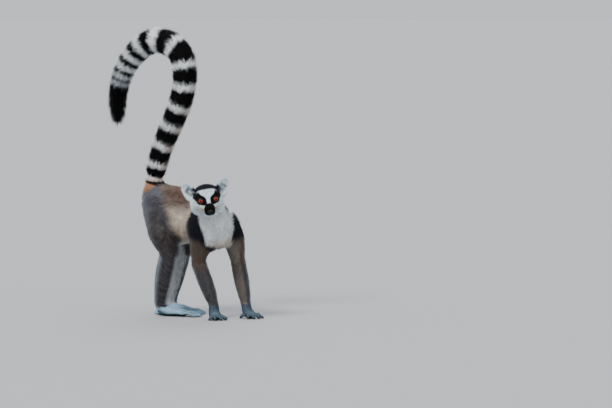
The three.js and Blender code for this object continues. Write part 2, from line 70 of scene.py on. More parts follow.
# Smoothing, as rounds and share: everywhere, then more on the body, and instead on thin parts, and the skin.
EVEN, ROUGH, GENTLE, SETTLED = (14, 0.6), (70, 0.6), (4, 0.5), (4, 0.4)
BLENDS = (25, 20, 20, 8)  # rounds that blend the coat's depth, length, width and density between parts

SIDES = ("right", "left")
TAIL = [f"tail_{i}" for i in range(1, 9)]
FLESH = sorted(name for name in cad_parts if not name.startswith(("eye_", "nose")))
FAMILY = {name: name.rsplit("_", 1)[0] for name in FLESH}
SIDE = {name: name.rsplit("_", 1)[-1] for name in FLESH}

# Each part of a limb: the part that carries it and the joints at its start and end.
LIMBS = {
    "upper_arm": ("trunk", "shoulder", "elbow"),
    "forearm": ("upper_arm", "elbow", "wrist"),
    "hand": ("forearm", "wrist", None),
    "thigh": ("trunk", "hip", "knee"),
    "shank": ("thigh", "knee", "ankle"),
    "foot": ("shank", "ankle", None),
}
FINE = ("ear", "hand", "foot")  # thin parts, which are smoothed least
DOWN = np.array([0, 0, -1.0])
LEVELLED = np.array([1, 1, 0.3])  # the fur of hands and feet lies nearly level


def linear(*rgb):
    """A colour given as 0 to 255 in sRGB, as linear light."""
    c = np.array(rgb) / 255
    return np.where(c <= 0.04045, c / 12.92, ((c + 0.055) / 1.055) ** 2.4)


WHITE = linear(234, 239, 241)
HEAD_WHITE = linear(225, 240, 250)
EAR_WHITE = linear(230, 247, 255)
CREAM = linear(210, 190, 150)
BELLY = linear(205, 198, 188)
FLANK = linear(208, 194, 177)
BACK = linear(110, 97, 90)
RED_BACK = linear(98, 76, 66)
RUMP = linear(99, 99, 106)
THIGH = linear(84, 80, 80)
LIMB = linear(74, 72, 75)
ELBOW = linear(94, 82, 73)
INNER = linear(184, 188, 190)
INNER_ARM = linear(132, 123, 114)
PALE_GREY = linear(150, 158, 166)
PALE_BLUE = linear(166, 202, 226)
# painted rim light, on fur that turns side-on
RIM_LIGHT = linear(152, 164, 172)
HAND = linear(78, 95, 110)
# painted shade, low on the thighs
SHADED_LOW_THIGH = linear(66, 61, 62)
DARK = linear(27, 28, 36)
BLACK = linear(9, 9, 11)
TAN = linear(168, 110, 66)
EAR_INSIDE = linear(80, 84, 94)
LEATHER = linear(38, 40, 46)
ORANGE, RUST = linear(156, 62, 28), linear(88, 26, 14)  # the iris, at the pupil and at its edge; the darkening outward is partly the iris's own colour and partly painted shade for its depth
EYEBALL, PUPIL = linear(26, 12, 8), linear(1, 1, 1)
LID, NOSE_BLACK, NAIL = linear(14, 12, 14), linear(15, 14, 16), linear(26, 24, 26)

# Black rings of the tail: (middle, width) in mm from its root, and where the black tip starts.
BLACK_RINGS = [
    (1, 8), (30, 24), (69, 31), (115, 33), (161, 32), (208, 34), (255, 34), (303, 36), (350, 31), (396, 24),
    (432, 19), (463, 14), (489, 10), (509, 7),
]
BLACK_TIP = 523
TAN_ROOT = 22  # mm of tan fur past the root, on the white

# Coat of each part: how deep it is, how long and wide a tuft is (mm), how many tufts a square centimetre
# has, and how many rings of corners a tuft has below its point.
COAT = {
    "head": (2.6, 7.0, 0.8, 130, 2),
    "ear": (0.6, 6.5, 0.8, 150, 2),
    "neck": (6.0, 17.0, 1.3, 88, 2),
    "trunk": (7.0, 18.0, 1.35, 52, 2),
    "upper_arm": (4.5, 12.5, 1.2, 60, 2),
    "forearm": (3.2, 9.5, 1.05, 62, 2),
    "hand": (0.7, 3.6, 0.7, 150, 1),
    "thigh": (6.0, 15.5, 1.3, 54, 2),
    "shank": (3.8, 11.0, 1.1, 56, 2),
    "foot": (0.9, 5.0, 0.8, 150, 1),
    "tail": (9.0, 27.0, 1.45, 56, 2),
}
CLUMP = {  # size of a clump in mm
    "tail": 9, "trunk": 9, "neck": 8, "thigh": 8, "upper_arm": 7, "shank": 6, "forearm": 6, "head": 4.5,
}
SLOT = {
    "head": "fur_white", "ear": "fur_white", "neck": "fur_white", "foot": "fur_white", "hand": "skin",
    "upper_arm": "fur_grey", "forearm": "fur_grey", "thigh": "fur_grey", "shank": "fur_grey",
    "trunk": "fur_flank", "tail": "fur_ringed",
}
SOLE = {"hand": -0.1, "foot": -0.25}  # hair grows only where the skin faces higher than this

# Tufts
CURVE = 0.45  # how much a tuft bends back towards the body
LEAST_LIFT, MOST_LIFT = 0.06, 0.92  # how steeply a tuft may rise, as a share of its length
RING_SHARES = {1: [0, 1], 2: [0, 0.42, 1]}  # where the rings of corners lie along a tuft
RING_WIDTHS = {1: [1, 0], 2: [0.8, 1, 0]}
SUNK = 0.6  # how deep a tuft's root is sunk, as a share of its width
RIDGE = 0.34  # height of a tuft's ridge, as a share of its width
LENGTHS, WIDTHS, DEPTHS = (0.75, 1.2), (0.7, 1.25), (0.5, 1.05)  # shares of what the coat has there
TURN, SWAY = 0.16, 0.1  # spread of the tufts' directions and bends
STRAYS, STRAY_RISE = 0.06, 0.5  # share of tufts that stand out, and how much more they rise
PULL = 0.55  # how strongly a clump draws its tufts together
SHADES = (0.72, 1.14)  # of a tuft's root and tip: painted shade at the root, where the tufts shade one another, and a lighter tip, partly the fur's own banding
TINT, CLUMP_TINT = 0.12, 0.06  # spread of the tufts' and the clumps' lightness
SEEN_AT = 0.55  # where along a tuft the markings are read
EAR_ROUNDING = 1.1  # how much the ears' tufts shade as forms of their own
SQUARE_CM = 1e4  # square centimetres in a square metre
PIECE_LIMIT = 190000  # triangles of a piece of coat
PATCH = 0.003  # size of a tuft's patch on the map
MAP_MARGIN = 0.02

# Eyes, with angles from the way that an eye looks
IRIS_EDGE = math.radians(41)
PUPIL_EDGE = math.radians(15)
LID_EDGE = math.radians(43)  # where the furred lids begin
EYE_STEPS = 48
EYE_FRONT, EYE_BACK = (0.05, 60, 49), (64, 179.5, 22)  # rings of the ball: first and last in degrees, count
EYE_BULGE = 0.5 * MM  # over the iris
LID_STEPS = 56
LID_RINGS = [  # the lid outside its opening: degrees from the edge, and mm above the ball
    (-2, 0.05), (0, 0.35), (3, 0.65), (9, 0.9), (18, 1.0), (28, 0.95), (38, 0.8), (50, 0.5), (62, -0.3),
]
LID_WIDE, LID_ABOVE, LID_BELOW = (math.radians(angle) for angle in (42, 28, 33))  # half sizes of the opening
LID_HAIRS = 3200
LID_HAIR_BAND = (4, 56)  # degrees from the lid's edge

NOSE_SIZE = (6.8, 5.2, 5.2)  # half width, half length and half height in mm
NOSE_RINGS, NOSE_STEPS = 40, 48
NOSE_POLE, NAIL_POLE = 0.02, 0.05  # how near to its pole a ball starts, in radians
DIGITS = 5
DIGIT_SPREAD = 8 * MM  # digits' tips lie further apart than this
NAIL_RINGS, NAIL_STEPS = 9, 16
NAIL_SHAPE = (0.4, 0.5, 0.17)  # half width, half length and half thickness, as shares of the nail's size
NAIL_SIZE = {"hand": 4.2, "foot": 4.8}  # mm
WHISKER_ROWS, WHISKERS_IN_ROW, WHISKER_GAP = 3, 4, 3.2  # the gap in mm
WHISKER_WIDTH = 0.16 * MM
WHISKER_RINGS = (0, 0.3, 0.65, 1)

# Materials: the shader's settings, noises as (scale, detail, darkest, lightest), and the bump's depth and
# strength, if it has one.
MATERIALS = {
    "fur": (
        {"Roughness": 0.7, "Specular IOR Level": 0.06, "Sheen Weight": 0.02, "Sheen Roughness": 0.5},
        [(900, 2, 0.82, 1.18), (45, 2, 0.92, 1.08)],
        None,
    ),
    "skin": (
        {"Roughness": 0.8, "Specular IOR Level": 0.06},
        [(1400, 3, 0.55, 1.1), (60, 3, 0.9, 1.08)],
        (0.4 * MM, 0.6),
    ),
    "eye": (
        {"Roughness": 0.06, "Specular IOR Level": 0.2, "Coat Weight": 0.15, "Coat Roughness": 0.02},
        [(700, 4, 0.75, 1.25)],
        None,
    ),
    "bare_skin": (
        {"Roughness": 0.5, "Specular IOR Level": 0.2},
        [(1600, 4, 0.7, 1.3)],
        (0.25 * MM, 0.5),
    ),
}
NOISE_LOW, NOISE_HIGH = 0.3, 0.7  # the part of a noise's values that is used
SKIN_SHADE = 0.8  # painted shade: how much darker the skin is painted than the coat's markings, as the shade under the coat

# Camera, floor and light
EYES_PIXEL = (207.98, 199.67)  # where the point between the eyes lies in the frame
FRAME_WIDTH, FRAME_HEIGHT = 612, 408
PIXEL = 2.1535 * MM  # size of a pixel at that point
DISTANCE = 7.831  # metres from the camera to the upright plane through it
AZIMUTH, ELEVATION = -45, 3
SENSOR = 36
FLOOR_REACH = 300
FLOOR_NOISE = (60, 3)  # scale and detail
FLOOR_TINTS = (0.43, 0.435, 0.451, 1), (0.455, 0.46, 0.476, 1)
WORLD_COLOUR, WORLD_STRENGTH = (0.93, 0.96, 1, 1), 0.78
LIGHTS = {  # azimuth, elevation, strength, spread in degrees, colour
    "key": (-85, 48, 2.3, 18, (1, 0.98, 0.95)),
    "fill": (-10, 25, 0.7, 60, (0.95, 0.98, 1)),
    "back": (130, 40, 1.1, 45, (0.95, 0.98, 1)),
}


# ---------------------------------------------------------------- arrays
def unit(v):
    return v / np.maximum(np.linalg.norm(v, axis=-1, keepdims=True), 1e-12)


def tangent(way, up):
    """Directions laid flat on the surface whose normals are up."""
    return unit(way - up * (way * up).sum(1, keepdims=True))


def ramp(x, low, high):
    """0 below low and 1 above high, smooth between."""
    t = np.clip((x - low) / (high - low), 0, 1)
    return t * t * (3 - 2 * t)


def bump(x, width):
    """1 at 0, falling to nothing beyond about twice the width."""
    return np.exp(-((x / width) ** 2))


def mixed(a, b, share):
    """Colour a turned into colour b by each place's share."""
    return a + (b - a) * share[:, None]


def full(colour, places):
    """The same colour for each place."""
    return np.tile(colour, (len(places), 1))


def dist(p, place):
    """How far places lie from one place, in mm."""
    return np.linalg.norm(p - place, axis=1) / MM


def picked(table, which):
    """The chosen entries of every array in a table."""
    return {key: values[which] for key, values in table.items()}


# ---------------------------------------------------------------- meshes
def read(items, attribute, width, kind):
    values = np.empty(len(items) * width, kind)
    items.foreach_get(attribute, values)
    return values.reshape(-1, width)


def points_of(mesh):
    return read(mesh.vertices, "co", 3, np.float32).astype(float)


def triangles_of(mesh):
    mesh.calc_loop_triangles()
    return read(mesh.loop_triangles, "vertices", 3, np.int32)


def welded(mesh):
    """Vertices and triangles with the copies of each vertex merged."""
    co, tri = points_of(mesh), triangles_of(mesh)
    whole = np.round(co / SAME).astype(np.int64)
    _, first, where = np.unique(whole, axis=0, return_index=True, return_inverse=True)
    tri = where.reshape(-1)[tri]
    kept = (tri[:, 0] != tri[:, 1]) & (tri[:, 1] != tri[:, 2]) & (tri[:, 0] != tri[:, 2])
    return co[first], tri[kept]


def normals_at(co, tri):
    face = np.cross(co[tri[:, 1]] - co[tri[:, 0]], co[tri[:, 2]] - co[tri[:, 0]])
    total = np.zeros_like(co)
    for k in range(3):
        for axis in range(3):
            total[:, axis] += np.bincount(tri[:, k], face[:, axis], len(co))
    return unit(total)


def mesh_from(name, co, faces):
    """A smooth mesh from arrays, in which every face has the same number of corners."""
    mesh = bpy.data.meshes.new(name)
    faces = np.ascontiguousarray(faces, np.int32)
    mesh.vertices.add(len(co))
    mesh.vertices.foreach_set("co", np.ascontiguousarray(co, np.float32).ravel())
    mesh.loops.add(faces.size)
    mesh.loops.foreach_set("vertex_index", faces.ravel())
    mesh.polygons.add(len(faces))
    mesh.polygons.foreach_set("loop_start", np.arange(0, faces.size, faces.shape[1], dtype=np.int32))
    mesh.polygons.foreach_set("use_smooth", np.full(len(faces), True))
    mesh.update(calc_edges=True)
    mesh.validate()
    return mesh


def turns(steps):
    """Angles that divide a full turn evenly."""
    return np.linspace(0, 2 * math.pi, steps, endpoint=False)


def ring_faces(rings, steps):
    """Four-sided faces between closed rings of places."""
    ring, step = np.divmod(np.arange((rings - 1) * steps), steps)
    here, beside = ring * steps + step, ring * steps + (step + 1) % steps
    return np.stack([here, beside, beside + steps, here + steps], axis=1)


def triangles(quads):
    return quads[:, [0, 1, 2, 0, 2, 3]].reshape(-1, 3)


def repeated(faces, count, size):
    """The same triangles for each of many forms, which have size vertices each."""
    return (np.arange(count)[:, None, None] * size + np.array(faces)).reshape(-1, 3)


def revolved(axis, across, above, centre, polar, radius):
    """A surface round an axis. Polar angles and radii are arrays by ring and step."""
    rings, steps = polar.shape
    turn = turns(steps)[:, None]
    around = across * np.cos(turn) + above * np.sin(turn)
    places = axis * (np.cos(polar) * radius)[..., None] + around * (np.sin(polar) * radius)[..., None]
    return centre + places.reshape(-1, 3), ring_faces(rings, steps)[:, [0, 3, 2, 1]]


def placed(name, data):
    piece = bpy.data.objects.new(name, data)
    bpy.context.scene.collection.objects.link(piece)
    return piece


def shown(name, mesh, material, slot, *replaced):
    """Puts a mesh in the scene as a piece of the animal."""
    mesh.materials.append(material)
    piece = placed(name, mesh)
    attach(piece, "root")
    if replaced:
        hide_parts(*replaced)


def paint(mesh, colours):
    """Stores a colour for each vertex, as the attribute that the materials read."""
    layer = mesh.color_attributes.new("Coat", "FLOAT_COLOR", "POINT")
    rgba = np.ones((len(mesh.vertices), 4), np.float32)
    rgba[:, :3] = colours
    layer.data.foreach_set("color", rgba.ravel())


class Net:
    """Which vertices each vertex of a mesh is joined to, for smoothing over the surface."""

    def __init__(self, mesh):
        pairs = read(mesh.edges, "vertices", 2, np.int32)
        both = np.concatenate([pairs, pairs[:, ::-1]])
        both = both[np.argsort(both[:, 0], kind="stable")]
        count = len(mesh.vertices)
        self.ends = both[:, 1]
        self.starts = np.searchsorted(both[:, 0], np.arange(count))
        self.degree = np.bincount(both[:, 0], minlength=count)[:, None]

    def smooth(self, values, rounds, share=0.6):
        flat = values.ndim == 1
        values = values[:, None] if flat else values
        for _ in range(rounds):
            mean = np.add.reduceat(values[self.ends], self.starts, axis=0) / self.degree
            values = values + share * (mean - values)
        return values[:, 0] if flat else values


# ---------------------------------------------------------------- landmarks, read from the frame
def middle(node):
    low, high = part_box(node)
    return (np.array(low) + np.array(high)) / 2


SOLIDS = {name: welded(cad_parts[name].data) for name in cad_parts}
TREES = {name: BVHTree.FromPolygons(co.tolist(), tri.tolist()) for name, (co, tri) in SOLIDS.items()}


def meeting(a, b):
    """The middle of the cut where solid a meets solid b."""
    gaps = np.array([TREES[b].find_nearest(Vector(p))[3] for p in SOLIDS[a][0]])
    return SOLIDS[a][0][gaps < max(TOUCHING, gaps.min() + MM)].mean(axis=0)


def furthest(node, start):
    """The place of a solid that lies furthest from a start."""
    co = SOLIDS[node][0]
    return co[np.argmax(np.linalg.norm(co - start, axis=1))]


EYES = {side: middle(f"eye_{side}") for side in SIDES}
EYES_MIDDLE = (EYES["left"] + EYES["right"]) / 2
EYE_RADIUS = (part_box("eye_left")[1][2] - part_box("eye_left")[0][2]) / 2
NOSE = middle("nose")


def head_axes():
    """The head's origin and its axes: left, forward and up."""
    left = unit(EYES["left"] - EYES["right"])
    ahead = NOSE - EYES_MIDDLE
    ahead = unit(ahead - left * (ahead @ left))
    above = np.cross(ahead, left)
    forward = ahead * math.cos(NOSE_DROP) + above * math.sin(NOSE_DROP)
    up = above * math.cos(NOSE_DROP) - ahead * math.sin(NOSE_DROP)
    axes = np.array([left, forward, up])
    return EYES_MIDDLE - np.array(EYES_TO_MIDDLE) * MM @ axes, axes


HEAD, HEAD_AXES = head_axes()
HEAD_LEFT, HEAD_AHEAD, HEAD_UP = HEAD_AXES


def in_head(p):
    """Places as (left, forward, up) in mm in the head's frame."""
    return (p - HEAD) @ HEAD_AXES.T / MM


def from_head(place):
    """The place that lies at (left, forward, up) in mm in the head's frame."""
    return HEAD + np.asarray(place, float) * MM @ HEAD_AXES


def gaze(side):
    """The way that an eye looks, and the directions to its right and above it."""
    out = 1 if side == "left" else -1
    ahead = unit(HEAD_AHEAD + LOOK_OUT * out * HEAD_LEFT + LOOK_UP * HEAD_UP)
    right = -unit(np.cross(ahead, HEAD_UP))
    return ahead, right, -np.cross(ahead, right)


BREAST_LEFT = unit(np.array([1, -1, 0.0]))  # across the breast, towards the animal's left
BREAST_AHEAD = unit(np.array([-1, -1, 0.0]))  # the way that the breast faces


def on_breast(p):
    """How far each place lies across the breast and above the eyes, in mm from the point between the eyes."""
    gap = (p - EYES_MIDDLE) / MM
    return gap @ BREAST_LEFT, gap[:, 2]


JOINT = {
    "nape": meeting("head", "neck"),
    "throat": meeting("neck", "trunk"),
    "tail": meeting("trunk", "tail_1"),
}
for side in SIDES:
    for part, (carrier, start, _) in LIMBS.items():
        carrier = carrier if carrier == "trunk" else f"{carrier}_{side}"
        JOINT[f"{start}_{side}"] = meeting(carrier, f"{part}_{side}")
    JOINT[f"ear_{side}"] = meeting(f"ear_{side}", "head")

SPINE = unit(JOINT["tail"] - JOINT["throat"])


def tail_line(samples=400):
    """The tail's middle line through its joints: places, directions, and lengths in mm."""
    joints = [JOINT["tail"]] + [meeting(a, b) for a, b in zip(TAIL, TAIL[1:])]
    joints.append(furthest(TAIL[-1], joints[-1]))
    joints = np.array([JOINT["tail"] * 2 - joints[1], *joints, joints[-1] * 2 - joints[-2]])
    t = np.linspace(0, len(joints) - 3 - 1e-9, samples)
    i = t.astype(int)
    f = (t - i)[:, None]
    a, b, c, d = (joints[i + k] for k in range(4))
    line = 0.5 * (2 * b + (c - a) * f + (2 * a - 5 * b + 4 * c - d) * f**2 + (3 * b - a - 3 * c + d) * f**3)
    steps = np.linalg.norm(np.diff(line, axis=0), axis=1)
    return line, unit(np.gradient(line, axis=0)), np.concatenate([[0], np.cumsum(steps)]) / MM


TAIL_LINE, TAIL_WAY, TAIL_AT = tail_line()


def on_tail(p):
    """For each place, the nearest sample of the tail's middle line."""
    nearest = np.empty(len(p), int)
    for start in range(0, len(p), 20000):
        part = p[start : start + 20000]
        gap = (TAIL_LINE**2).sum(1) - 2 * part @ TAIL_LINE.T
        nearest[start : start + 20000] = gap.argmin(1)
    return nearest


def along_tail(p):
    """How far along the tail each place is, in mm."""
    near = on_tail(p)
    return TAIL_AT[near] + ((p - TAIL_LINE[near]) * TAIL_WAY[near]).sum(1) / MM


# ---------------------------------------------------------------- markings, shared by the skin and the coat
def head_marks(places):
    """White face, dark crown and temples, grey nape, black eye patches, muzzle and mouth."""
    left, forward, height = places.T
    across = np.abs(left)
    blush = 0.8 * bump(across - 16, 8) * bump(height + 13, 8) * ramp(forward, 12, 24)
    colour = mixed(full(HEAD_WHITE, places), CREAM, blush)
    crown = ramp(8.5 - forward - across**2 / 75, -1.5, 2.5) * ramp(height - 0.25 * (across - 10), 9, 14)
    temple = ramp(across, 18, 21.5) * ramp(31 - across, 0, 3) * ramp(height, 4, 8)
    temple *= ramp(forward, -16, -10) * ramp(12 - forward, 0, 3)
    colour = mixed(colour, DARK, np.maximum(crown, temple))
    nape = ramp(-forward, 8, 18) * ramp(24 - across, 0, 7) * ramp(height + 14, 0, 10)
    colour = mixed(colour, RUMP, nape * (1 - crown))
    upper = height > 6.5
    patch_x = (across - 15.5 + 0.35 * np.clip(6 - height, 0, 30)) / 11.5
    patch_z = (height - 6.5) / np.where(upper, 9.5, 10.5)
    brow = 0.6 * bump(across - 21, 6) * upper
    patch = ramp(1.12 + brow - np.hypot(patch_x, patch_z), 0.0, 0.2) * ramp(forward, 4, 9)
    colour = mixed(colour, BLACK * 1.2, patch)
    from_nose = np.sqrt(left**2 + (forward - 55) ** 2 + (height + 15) ** 2)
    muzzle = ramp(23.5 - from_nose - 0.08 * across, -1.5, 1.5) * ramp(height + 26, 0, 4)
    mouth = 0.8 * bump(height + 23.5, 1.0) * ramp(forward, 26, 32)
    return mixed(colour, BLACK * 1.3, np.maximum(muzzle, mouth))


def ear_marks(p, name, up):
    """White ears, grey in the middle of the cup and dark at the inner root."""
    root = JOINT[name]
    reaching = furthest(name, root) - root
    way = unit(reaching)
    away = p - root - ((p - root) @ way)[:, None] * way
    reach = ((p - root) @ way) / np.linalg.norm(reaching)
    inside = ramp(up @ HEAD_AHEAD, 0.0, 0.4) * ramp(11 * MM - np.linalg.norm(away, axis=1), 0, 5 * MM)
    inside *= ramp(0.74 - reach, 0, 0.2)
    streaks = 0.8 + 0.07 * wobble(4 * p, 1)
    colour = mixed(full(EAR_WHITE, p), EAR_INSIDE, inside * streaks)
    inner = np.sign((root - HEAD) @ HEAD_LEFT) * (away @ HEAD_LEFT) / MM
    return mixed(colour, DARK, ramp(0.42 - reach, 0, 0.12) * ramp(-inner, 3, 6))


def tail_marks(at, up):
    """Black and white rings, tan near the root, a warm tint that is painted shade with warm reflected light
    on the side facing the animal's left over the tail's first part, and the black tip.
    """
    black = ramp(at, BLACK_TIP - 1.5, BLACK_TIP + 1.5)
    for centre, width in BLACK_RINGS:
        black = np.maximum(black, ramp(width / 2 - np.abs(at - centre), -1.2, 1.2))
    # painted shade, warmed by reflected light, on the side facing the animal's left, fading along the tail
    warm_shade = 0.45 * ramp(up @ BREAST_LEFT, -0.1, 0.8) * ramp(300 - at, 0, 160)
    tan_root = 0.92 * ramp(TAN_ROOT - at, 0, 26)
    pale = mixed(full(WHITE, at), TAN, np.maximum(warm_shade, tan_root))
    pale = mixed(pale, PALE_GREY, 0.8 * ramp(at, 470, 520))
    return mixed(pale, BLACK, black)


def wobble(p, seed):
    """A smooth uneven shift in mm, so that the edges of markings don't run straight."""
    x, y, z = (p / MM).T
    return 2.2 * (np.sin(x / 9 + seed) + np.sin(y / 7 + 2 * seed) + np.sin(z / 8 + 3 * seed + x / 17))


def mottle(p):
    """An uneven pattern of lighter and darker patches, a few centimetres wide, without rows."""
    warp = np.stack([wobble(1.7 * p, seed) for seed in (2, 11, 5)], axis=1)
    return wobble(2.6 * p + 4 * MM * warp, 7)


def breast_share(p, up):
    """1 on the white breast, between the dark shoulders."""
    across, height = on_breast(p)
    across, height = across + 0.6 * wobble(p, 1), height + wobble(p, 2)
    right_edge = -22 - (height + 30) * 10 / 55
    inside = ramp(across - right_edge, -3, 4) * ramp(47 - across, -3, 5)
    return inside * ramp(up @ BREAST_AHEAD, -0.3, 0.15) * ramp(height + 108, 0, 8)


def shoulder_shade(p, up):
    """1 on the dark painted shade beside the white breast, near each shoulder."""
    across, height = on_breast(p)
    across, height = across + wobble(p, 3), height + 1.6 * wobble(p, 4)
    right = ramp(across, -50, -39) * ramp(-24 - height, 0, 9) * ramp(height + 96 + 0.7 * (across + 41), 0, 20)
    left = ramp(across, 41, 49) * ramp(-8 - height, 0, 9) * ramp(height + 110 - 0.4 * (across - 45), 0, 22)
    patch = np.zeros(len(p))
    for side, place in (("right", right), ("left", left)):
        near = ramp(64 - dist(p, JOINT[f"shoulder_{side}"]), 0, 14)
        patch = np.maximum(patch, place * near)
    return patch * ramp(up @ BREAST_AHEAD, -0.7, -0.1) * (1 - breast_share(p, up))


def hind_share(p):
    """1 on the grey rump and thighs, and 0 on the back and flanks before them, alike on both sides."""
    spine = JOINT["throat"] + SPINE * ((p - JOINT["throat"]) @ SPINE)[:, None]
    folded = p.copy()
    folded[:, 0] = spine[:, 0] - np.abs(p[:, 0] - spine[:, 0])
    across, height = on_breast(folded)
    above_bend = height + 33
    edge = -98 - np.where(above_bend > 0, 0.37, 0.51) * above_bend
    return ramp(edge - across + wobble(p, 9), -11, 11)


def rim_lit(colour, up, share):
    """Painted rim light: pale bluish tips on fur that turns to face across the breast, towards the animal's
    left or right.
    """
    return mixed(colour, RIM_LIGHT, share * ramp(np.abs(up @ BREAST_LEFT), 0.66, 0.98))


def body_colour(p, up):
    """Brown back with a red-brown top, paler flanks with a tan blush, and the grey hind part, darker low on
    the thighs as painted shade; painted rim light on the edges.
    """
    across, height = on_breast(p)
    colour = mixed(full(FLANK, p), BACK, ramp(height, -50, -14))
    colour = mixed(colour, RED_BACK, 0.9 * bump(across + 66, 30) * bump(height - 2, 18))
    colour = mixed(colour, TAN, 0.3 * bump(across + 70, 10) * bump(height + 76, 12))
    hind = mixed(full(THIGH, p), RUMP, ramp(height, -75, -20))
    # painted shade low on the thighs
    hind = mixed(hind, SHADED_LOW_THIGH, ramp(-70 - height, 0, 25))
    colour = mixed(colour, hind, hind_share(p)) * (1 + 0.04 * mottle(p))[:, None]
    return rim_lit(colour, up, 0.35)


def trunk_marks(p, up):
    """The body's colours, a pale belly, the white breast, and the tan and rings at the tail's root."""
    colour = mixed(body_colour(p, up), BELLY, ramp(-up[:, 2], 0.3, 0.75))
    colour = mixed(colour, WHITE, breast_share(p, up) * ramp(64 - dist(p, JOINT["throat"]), 0, 15))
    # painted shade beside the breast at the shoulders
    colour = mixed(colour, DARK, shoulder_shade(p, up))
    root = np.searchsorted(TAIL_AT, 25)
    gap = (p - TAIL_LINE[root]) / MM
    along = gap @ TAIL_WAY[root]
    away = np.linalg.norm(gap - along[:, None] * TAIL_WAY[root], axis=1)
    at = TAIL_AT[root] + along
    across, height = on_breast(p)
    uneven = wobble(p, 5)
    behind = ramp(height - 0.8 * (across + 136) + 0.6 * uneven, 0, 8) * ramp(at, -46, -38)
    share = np.maximum(ramp(at + 0.4 * uneven, -20, -15), behind) * ramp(44 - away, 0, 10)
    return mixed(colour, tail_marks(at, up), share)


def neck_marks(p, up):
    """White throat and sides, a grey nape, and the painted shade beside the breast at the shoulders."""
    return mixed(mixed(full(WHITE, p), RUMP, ramp(up[:, 2], 0.2, 0.6)), DARK, shoulder_shade(p, up))


def inner_share(up, side, low, high):
    """1 where a limb faces the other side of the animal."""
    outward = 1 if side == "left" else -1
    return ramp(-up[:, 0] * outward, low, high)


def wave_shading(p, strength):
    """Painted light and shade: slanting lighter and darker waves of the fur on the hind legs, drawn in colour
    on smooth fur.
    """
    wave = np.sin((p[:, 2] - 0.6 * p[:, 1]) / (1.9 * MM) + 0.8 * wobble(p, 6))
    return (1 + strength * wave)[:, None]


def upper_arm_marks(p, side, up):
    """Brown, with painted rim light, the painted shade beside the shoulder, and the edge of the white breast.
    """
    high, low = JOINT[f"shoulder_{side}"], JOINT[f"elbow_{side}"]
    along = ((p - high) @ (low - high)) / ((low - high) @ (low - high))
    colour = rim_lit(full(ELBOW, p), up, 0.2)
    colour = mixed(colour, INNER_ARM, inner_share(up, side, 0.15, 0.65) * ramp(along, 0.2, 0.7))
    colour = mixed(colour, DARK, shoulder_shade(p, up))
    return mixed(colour, WHITE, breast_share(p, up))


def forearm_marks(p, side, up):
    """The upper arm's brown fades into grey below the elbow, with painted rim light along the edges."""
    brown = ramp(42 - dist(p, JOINT[f"elbow_{side}"]) + wobble(p, 8), 0, 28)
    colour = rim_lit(mixed(full(LIMB, p), ELBOW, brown), up, 0.5)
    return mixed(colour, INNER_ARM, 0.6 * inner_share(up, side, 0.15, 0.65))


def thigh_marks(p, side, up):
    low = ramp(-50 - on_breast(p)[1], 0, 35)
    # painted waves of light and shade, stronger low on the thigh
    return mixed(body_colour(p, up) * wave_shading(p, 0.2 * low), INNER, inner_share(up, side, 0.15, 0.65))


def shank_marks(p, side, up):
    """Grey with painted waves of light and shade, painted rim light along its edges, strongest where it faces
    the animal's right, and pale inside.
    """
    # painted rim light, strongest where the shank faces the animal's right
    behind = 0.55 * ramp(-(up @ BREAST_LEFT), 0.55, 0.92)
    colour = rim_lit(mixed(full(LIMB, p) * wave_shading(p, 0.32), RIM_LIGHT, behind), up, 0.55)
    return mixed(colour, INNER, inner_share(up, side, -0.25, 0.35))


def paw_marks(p, up, base, joint, tips):
    """Short pale hair on the back of a hand or foot, darker towards the tips, a painted highlight on the tops
    of the digits, and a bare dark sole.
    """
    reach = dist(p, JOINT[joint])
    colour = mixed(full(base, p), LEATHER, tips * ramp(reach, 38, 56))
    # painted highlight: paler blue on the tops of the digits
    colour = mixed(colour, PALE_BLUE * 0.6, 0.5 * ramp(up[:, 2], 0.6, 0.95) * ramp(reach, 22, 34))
    return mixed(colour, LEATHER, ramp(-up[:, 2], 0.1, 0.6))


def markings(name, p, up):
    """The colour of the coat at each place on one part of the body."""
    side = SIDE[name]
    return {
        "head": lambda: head_marks(in_head(p)),
        "ear": lambda: ear_marks(p, name, up),
        "neck": lambda: neck_marks(p, up),
        "trunk": lambda: trunk_marks(p, up),
        "tail": lambda: tail_marks(along_tail(p), up),
        "upper_arm": lambda: upper_arm_marks(p, side, up),
        "forearm": lambda: forearm_marks(p, side, up),
        "thigh": lambda: thigh_marks(p, side, up),
        "shank": lambda: shank_marks(p, side, up),
        "hand": lambda: paw_marks(p, up, HAND, f"wrist_{side}", 0.4),
        "foot": lambda: paw_marks(p, up, PALE_BLUE * 1.1, f"ankle_{side}", 0.2),
    }[FAMILY[name]]()


def painted(owner, p, up):
    """The colour at each place, by the part of flesh that owns it."""
    colour = np.empty_like(p)
    for i, name in enumerate(FLESH):
        mine = owner == i
        if mine.any():
            colour[mine] = markings(name, p[mine], up[mine])
    return colour


# ---------------------------------------------------------------- the skin
def joined(swell):
    """The solids of flesh as one set of vertices and triangles, and which solid each triangle is from."""
    places, faces, owner, count = [], [], [], 0
    for i, name in enumerate(FLESH):
        co, tri = SOLIDS[name]
        places.append(co + normals_at(co, tri) * swell)
        faces.append(tri + count)
        owner.append(np.full(len(tri), i))
        count += len(co)
    return np.concatenate(places), np.concatenate(faces), np.concatenate(owner)


def outline():
    """The outline of the whole coat as one even mesh: the solids of flesh, swollen to close their cuts."""
    co, tri, _ = joined(SWELL)
    source = placed("outline", mesh_from("outline", co, tri))
    voxels = source.modifiers.new("voxels", "REMESH")
    voxels.mode = "VOXEL"
    voxels.voxel_size = VOXEL
    result = bpy.data.meshes.new_from_object(source.evaluated_get(bpy.context.evaluated_depsgraph_get()))
    bpy.data.objects.remove(source)
    return result


